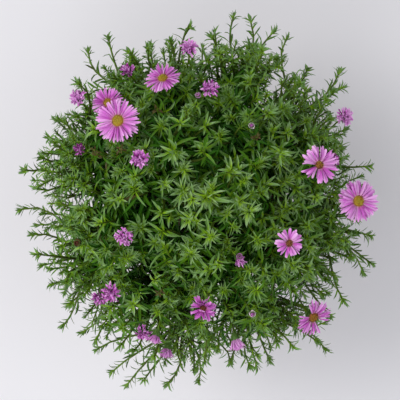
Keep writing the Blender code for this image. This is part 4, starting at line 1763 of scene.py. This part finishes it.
    def outer_shoots(self) -> list[Shoot]:
        """Sets the twigs of the outline, and those between them.

        Returns:
            The shoots.
        """
        shoots = []
        for index, (x, y) in enumerate(EDGE_TIPS):
            tip = DOME.under(x, y, EDGE_LIFTS[index % len(EDGE_LIFTS)])
            facing = self.facing(tip, self.EDGE_NOISE)
            tip = tip - facing * self.EDGE_INSET
            shoots.append(Shoot(tip, facing, Habit.TWIG, clothed=0.055, tint=0.08, girth=1.15))
        for index in range(self.twig_count):
            azimuth = index * GOLDEN_ANGLE + self.rng.normal(0, 0.1)
            polar = math.radians(self.rng.uniform(*self.TWIG_POLAR))
            tip = self.under_heads(DOME.point(polar, azimuth, self.rng.uniform(*self.TWIG_REACH)))
            facing = self.facing(tip, self.TWIG_NOISE)
            habit = Habit.TWIG if self.rng.random() < self.TWIG_SHARE else Habit.BRUSH
            vigour = self.rng.uniform(*self.TWIG_VIGOUR)
            shoots.append(Shoot(tip, facing, habit, clothed=0.046, vigour=vigour, tint=0.06))
        return shoots

    def shaded_shoots(self) -> list[Shoot]:
        """Sets the short shoots inside the dome, and the skirt about its lower edge.

        Returns:
            The shoots.
        """
        shoots = []
        for index in range(self.inner_count):
            polar = self.INNER_POLAR * math.sqrt((index + 0.5) / self.inner_count)
            azimuth = index * GOLDEN_ANGLE + 0.7 + self.rng.normal(0, 0.15)
            depth = self.rng.uniform(0, 1) ** 1.4
            tip = DOME.point(polar, azimuth, self.INNER_REACH - self.INNER_DEPTH * depth)
            facing = self.facing(tip, self.INNER_NOISE)
            # Inner shoots get a lower tone the deeper they stand: painted shade.
            shoots.append(Shoot(tip, facing, Habit.STAR, 0.029, vigour=1.15, tint=-0.12 - 0.26 * depth))
        for index in range(self.skirt_count):
            azimuth = FULL_TURN * (index + self.rng.uniform(0.2, 0.8)) / self.skirt_count
            reach, height = self.rng.uniform(*self.SKIRT_REACH), self.rng.uniform(*self.SKIRT_HEIGHT)
            tip = spoke(azimuth) * reach + UP * height
            facing = self.facing(tip, self.SKIRT_NOISE, self.SKIRT_TILT)
            habit = Habit.STAR if self.rng.random() < self.SKIRT_STARS else Habit.TWIG
            shoots.append(Shoot(tip, facing, habit, clothed=0.042, tint=-0.12))
        return shoots

    def stalks(self) -> list[Shoot]:
        """Runs a leafy stalk up to each flower head, and sets the few shoots whose tips have dried up.

        Returns:
            The shoots.
        """
        shoots = []
        for head in OPEN_HEADS + SPENT_HEADS + BUDS:
            tip = head.foot() + head.axis() * 2 * SEAT_GAP
            shoots.append(Shoot(tip, head.axis(), Habit.STALK, clothed=0.045))
        for x, y in WITHERED_TIPS:
            tip = DOME.under(x, y, -0.003)
            shoots.append(Shoot(tip, unit(DOME.outward(tip) + UP * 0.3), Habit.WITHERED, clothed=0.030))
        return shoots

    def build(self) -> None:
        """Builds, for each main stem, a piece of shoots and a piece of leaves."""
        arcs = self.stem_arcs()
        bearings = np.array([DOME.bearing(knots[3]) for knots in arcs])
        borne: list[list[Shoot]] = [[] for _ in arcs]
        for shoot in self.stalks() + self.outer_shoots() + self.shaded_shoots() + self.fill_shoots():
            borne[int(np.argmax(bearings @ DOME.bearing(shoot.tip)))].append(shoot)
        for number, (knots, shoots) in enumerate(zip(arcs, borne), 1):
            stem, bark, broad, narrow = Spray(STEM), Spray(SHOOT), Spray(LEAF), Spray(NEEDLE)
            side, taper = square_to(unit(knots[3] - knots[0])), self.stem_tip / self.stem_foot
            # Main stems take a very low tone: dark old wood, and painted shade deep in the cushion.
            stem.add(knots, side, self.stem_foot, 0.03, taper)
            leader = Shoot(knots[3], unit(knots[3] - knots[2]), Habit.STAR, knots=knots)
            leader.clothe(broad, narrow, self.rng)
            for shoot in shoots:
                shoot.leave(knots, self.rng)
                shoot.bark(bark, float(self.rng.uniform(0.18, 0.42)))
                shoot.clothe(broad, narrow, self.rng)
            node = f"stem_{number:02d}"
            grow(f"{node}_shoots", [stem, bark], SHOOT_BARK, node)
            grow(f"{node}_leaves", [broad, narrow], LEAF_GREEN, node)


@dataclass
class Pot:
    """A plain round nursery pot, turned from its section, with drain holes in its floor.

    The section gives radii and heights, from the pad under the pot, over the lip, to the floor inside.
    """

    section: Outline = (
        (0.0200, 0.0000), (0.0210, 0.0025), (0.0370, 0.0025), (0.0380, 0.0000), (0.0420, 0.0000),
        (0.0430, 0.0012), (0.0540, 0.0860), (0.0572, 0.0870), (0.0578, 0.0974), (0.0598, 0.0978),
        (0.0600, 0.0982), (0.0600, 0.0994), (0.0596, 0.0999), (0.0590, 0.1000), (0.0568, 0.1000),
        (0.0565, 0.0988), (0.0558, 0.0882), (0.0527, 0.0864), (0.0411, 0.0042),
    )
    sides: int = 96
    drains: int = 6
    drain_radius: float = 0.0045
    drain_circle: float = 0.0290
    drill_length: float = 0.0168

    def build(self) -> None:
        """Builds the pot."""
        add, radius = bpy.ops.mesh.primitive_circle_add, self.section[0][0]
        pot = start_work(add, vertices=self.sides, radius=radius, fill_type="NGON")
        pot.name = pot.data.name = "pot_turned"
        raise_ring(self.section)
        end_work()
        self.drill(pot)
        bpy.ops.object.shade_smooth_by_angle(angle=math.radians(34))
        settle(pot, POT_PLASTIC, "pot")

    def drill(self, pot: Object) -> None:
        """Cuts the drain holes through the floor.

        Args:
            pot: The pot.
        """
        for hole in range(self.drains):
            bpy.ops.object.select_all(action="DESELECT")
            bpy.ops.mesh.primitive_cylinder_add(
                vertices=28,
                radius=self.drain_radius,
                depth=self.drill_length,
                location=spoke(FULL_TURN * hole / self.drains) * self.drain_circle,
            )
            drill = bpy.context.object
            bpy.context.view_layer.objects.active = pot
            cut = pot.modifiers.new("Drain hole", "BOOLEAN")
            cut.operation, cut.object = "DIFFERENCE", drill
            bpy.ops.object.modifier_apply(modifier=cut.name)
            bpy.data.meshes.remove(drill.data)
        pot.select_set(True)


@dataclass
class Compost:
    """The compost that fills the pot, with a crumbly top that is level at the crown."""

    rng: Chance
    level_radius: float
    bottom: float = 0.0045
    top: float = 0.0860
    foot_radius: float = 0.0405
    rim_radius: float = 0.0516
    bump: float = 0.0018
    sides: int = 72
    rings: int = 14
    crumbs: int = 520

    RINGS_REACH = 0.94
    CRUMB_PLACES, CRUMB_SIZES = (0.18, 0.93), (0.0007, 0.0019)

    def build(self) -> None:
        """Builds the fill, then scatters crumbs over it."""
        add, edge = bpy.ops.mesh.primitive_circle_add, self.top - self.bump
        place, radius = (0, 0, self.bottom), self.foot_radius
        fill = start_work(add, vertices=self.sides, radius=radius, fill_type="NGON", location=place)
        fill.name = fill.data.name = "compost_fill"
        raise_ring(((self.foot_radius, self.bottom), (self.rim_radius, edge)))
        for ring in range(self.rings):
            depth = self.bump if ring == 0 else 0
            bpy.ops.mesh.inset(thickness=self.rim_radius * self.RINGS_REACH / self.rings, depth=depth)
        self.roughen(fill)
        end_work()
        bpy.ops.object.shade_smooth_by_angle(angle=math.radians(50))
        settle(fill, COMPOST_BROWN, "compost")
        grow("compost_crumbs", [self.scatter()], CRUMB_BROWN, "compost")

    def roughen(self, fill: Object) -> None:
        """Knocks the points of the top down at random, outside the level place at the crown.

        Args:
            fill: The fill, in edit mode.
        """
        mesh = bmesh.from_edit_mesh(fill.data)
        for vert in mesh.verts:
            if vert.co.z > self.top - self.bump / 2 and vert.co.xy.length > self.level_radius:
                vert.co.z -= self.bump * float(self.rng.random())
        bmesh.update_edit_mesh(fill.data)

    def scatter(self) -> Spray:
        """Scatters crumbs over the top.

        Returns:
            The crumbs.
        """
        count, rng = self.crumbs, self.rng
        reach = self.rim_radius * np.sqrt(rng.uniform(*self.CRUMB_PLACES, count))
        turn = rng.uniform(0, FULL_TURN, count)
        size = rng.uniform(*self.CRUMB_SIZES, count) * rng.uniform(0.6, 1.0, count)
        place = round_about(UP, turn) * column(reach) + UP * (self.top - 2 * SEAT_GAP)
        heading = unit(rng.normal(0, 1, (count, 3)) * (1, 1, 0.35))
        end = place + heading * column(size * 1.8)
        crumbs = Spray(CRUMB)
        tone = rng.uniform(0.0, 0.6, count)
        crumbs.add(arc(place, heading, end, heading), square_to(heading), size, tone)
        return crumbs


class Lamp(NamedTuple):
    """A large square light that faces the plant."""

    name: str
    place: Place
    size: float
    power: float
    colour: Colour

    def hang(self) -> None:
        """Adds the light to the scene."""
        turn = (Vector((0, 0, 0.1)) - Vector(self.place)).to_track_quat("-Z", "Y").to_euler()
        bpy.ops.object.light_add(type="AREA", location=self.place, rotation=turn)
        lamp = bpy.context.object
        lamp.name = self.name
        lamp.data.size, lamp.data.energy, lamp.data.color = self.size, self.power, self.colour


@dataclass(frozen=True)
class Studio:
    """A pale floor under soft light from the left."""

    floor_size: float = 8.0
    floor_colour: Colour = (0.855, 0.851, 0.885)
    lamps: tuple[Lamp, ...] = (
        Lamp("key_light", (-1.25, 0.42, 1.60), 1.2, 20.0, (1.0, 0.99, 0.975)),
        Lamp("low_fill", (-0.60, -1.20, 1.30), 1.2, 9.4, (0.99, 0.985, 1.0)),
        Lamp("far_fill", (1.05, -0.25, 0.95), 1.0, 2.6, (0.98, 0.98, 1.0)),
    )
    sky: Colour = (0.82, 0.82, 0.85)
    sky_strength: float = 0.49

    def lay_floor(self) -> None:
        """Adds the floor."""
        bpy.ops.object.select_all(action="DESELECT")
        bpy.ops.mesh.primitive_plane_add(size=self.floor_size)
        floor = bpy.context.object
        floor.name = "studio_floor"
        bench = Bench("Studio floor")
        mottle = bench.spread(bench.noise(3.0, 2.0), 0.3, 0.7, 0.97, 1.03)
        feeds = {0: self.floor_colour, "Scale": mottle}
        shade = bench.add("ShaderNodeVectorMath", feeds, operation="SCALE").outputs[0]
        bench.dress(base_color=shade, roughness=0.85, specular_ior_level=0.2)
        floor.data.materials.append(bench.material)

    def build(self) -> None:
        """Sets the floor, the lights and the sky."""
        self.lay_floor()
        for lamp in self.lamps:
            lamp.hang()
        world = bpy.data.worlds.new("Soft sky")
        bpy.context.scene.world = world
        world.use_nodes = True
        backdrop = world.node_tree.nodes["Background"]
        backdrop.inputs["Color"].default_value = (*self.sky, 1.0)
        backdrop.inputs["Strength"].default_value = self.sky_strength
        bpy.context.scene.view_settings.view_transform = "Standard"


def main() -> None:
    """Builds every piece in order, with chance of its own for each part of the plant."""
    logging.basicConfig(level=logging.INFO, format="%(name)s %(message)s")
    compost_rng, foliage_rng, head_rng = (np.random.default_rng((SEED, part)) for part in range(3))
    VIEW.add_camera()
    Studio().build()

    low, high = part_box("root_crown")
    crown = RootCrown(base=low.z, radius=high.x, height=high.z - low.z)
    Pot().build()
    Compost(compost_rng, level_radius=crown.radius * 1.1).build()
    crown.build()
    Foliage(crown, foliage_rng).build()
    for head in OPEN_HEADS + SPENT_HEADS + BUDS:
        head.build(head_rng)


if __name__ == "__main__":
    main()
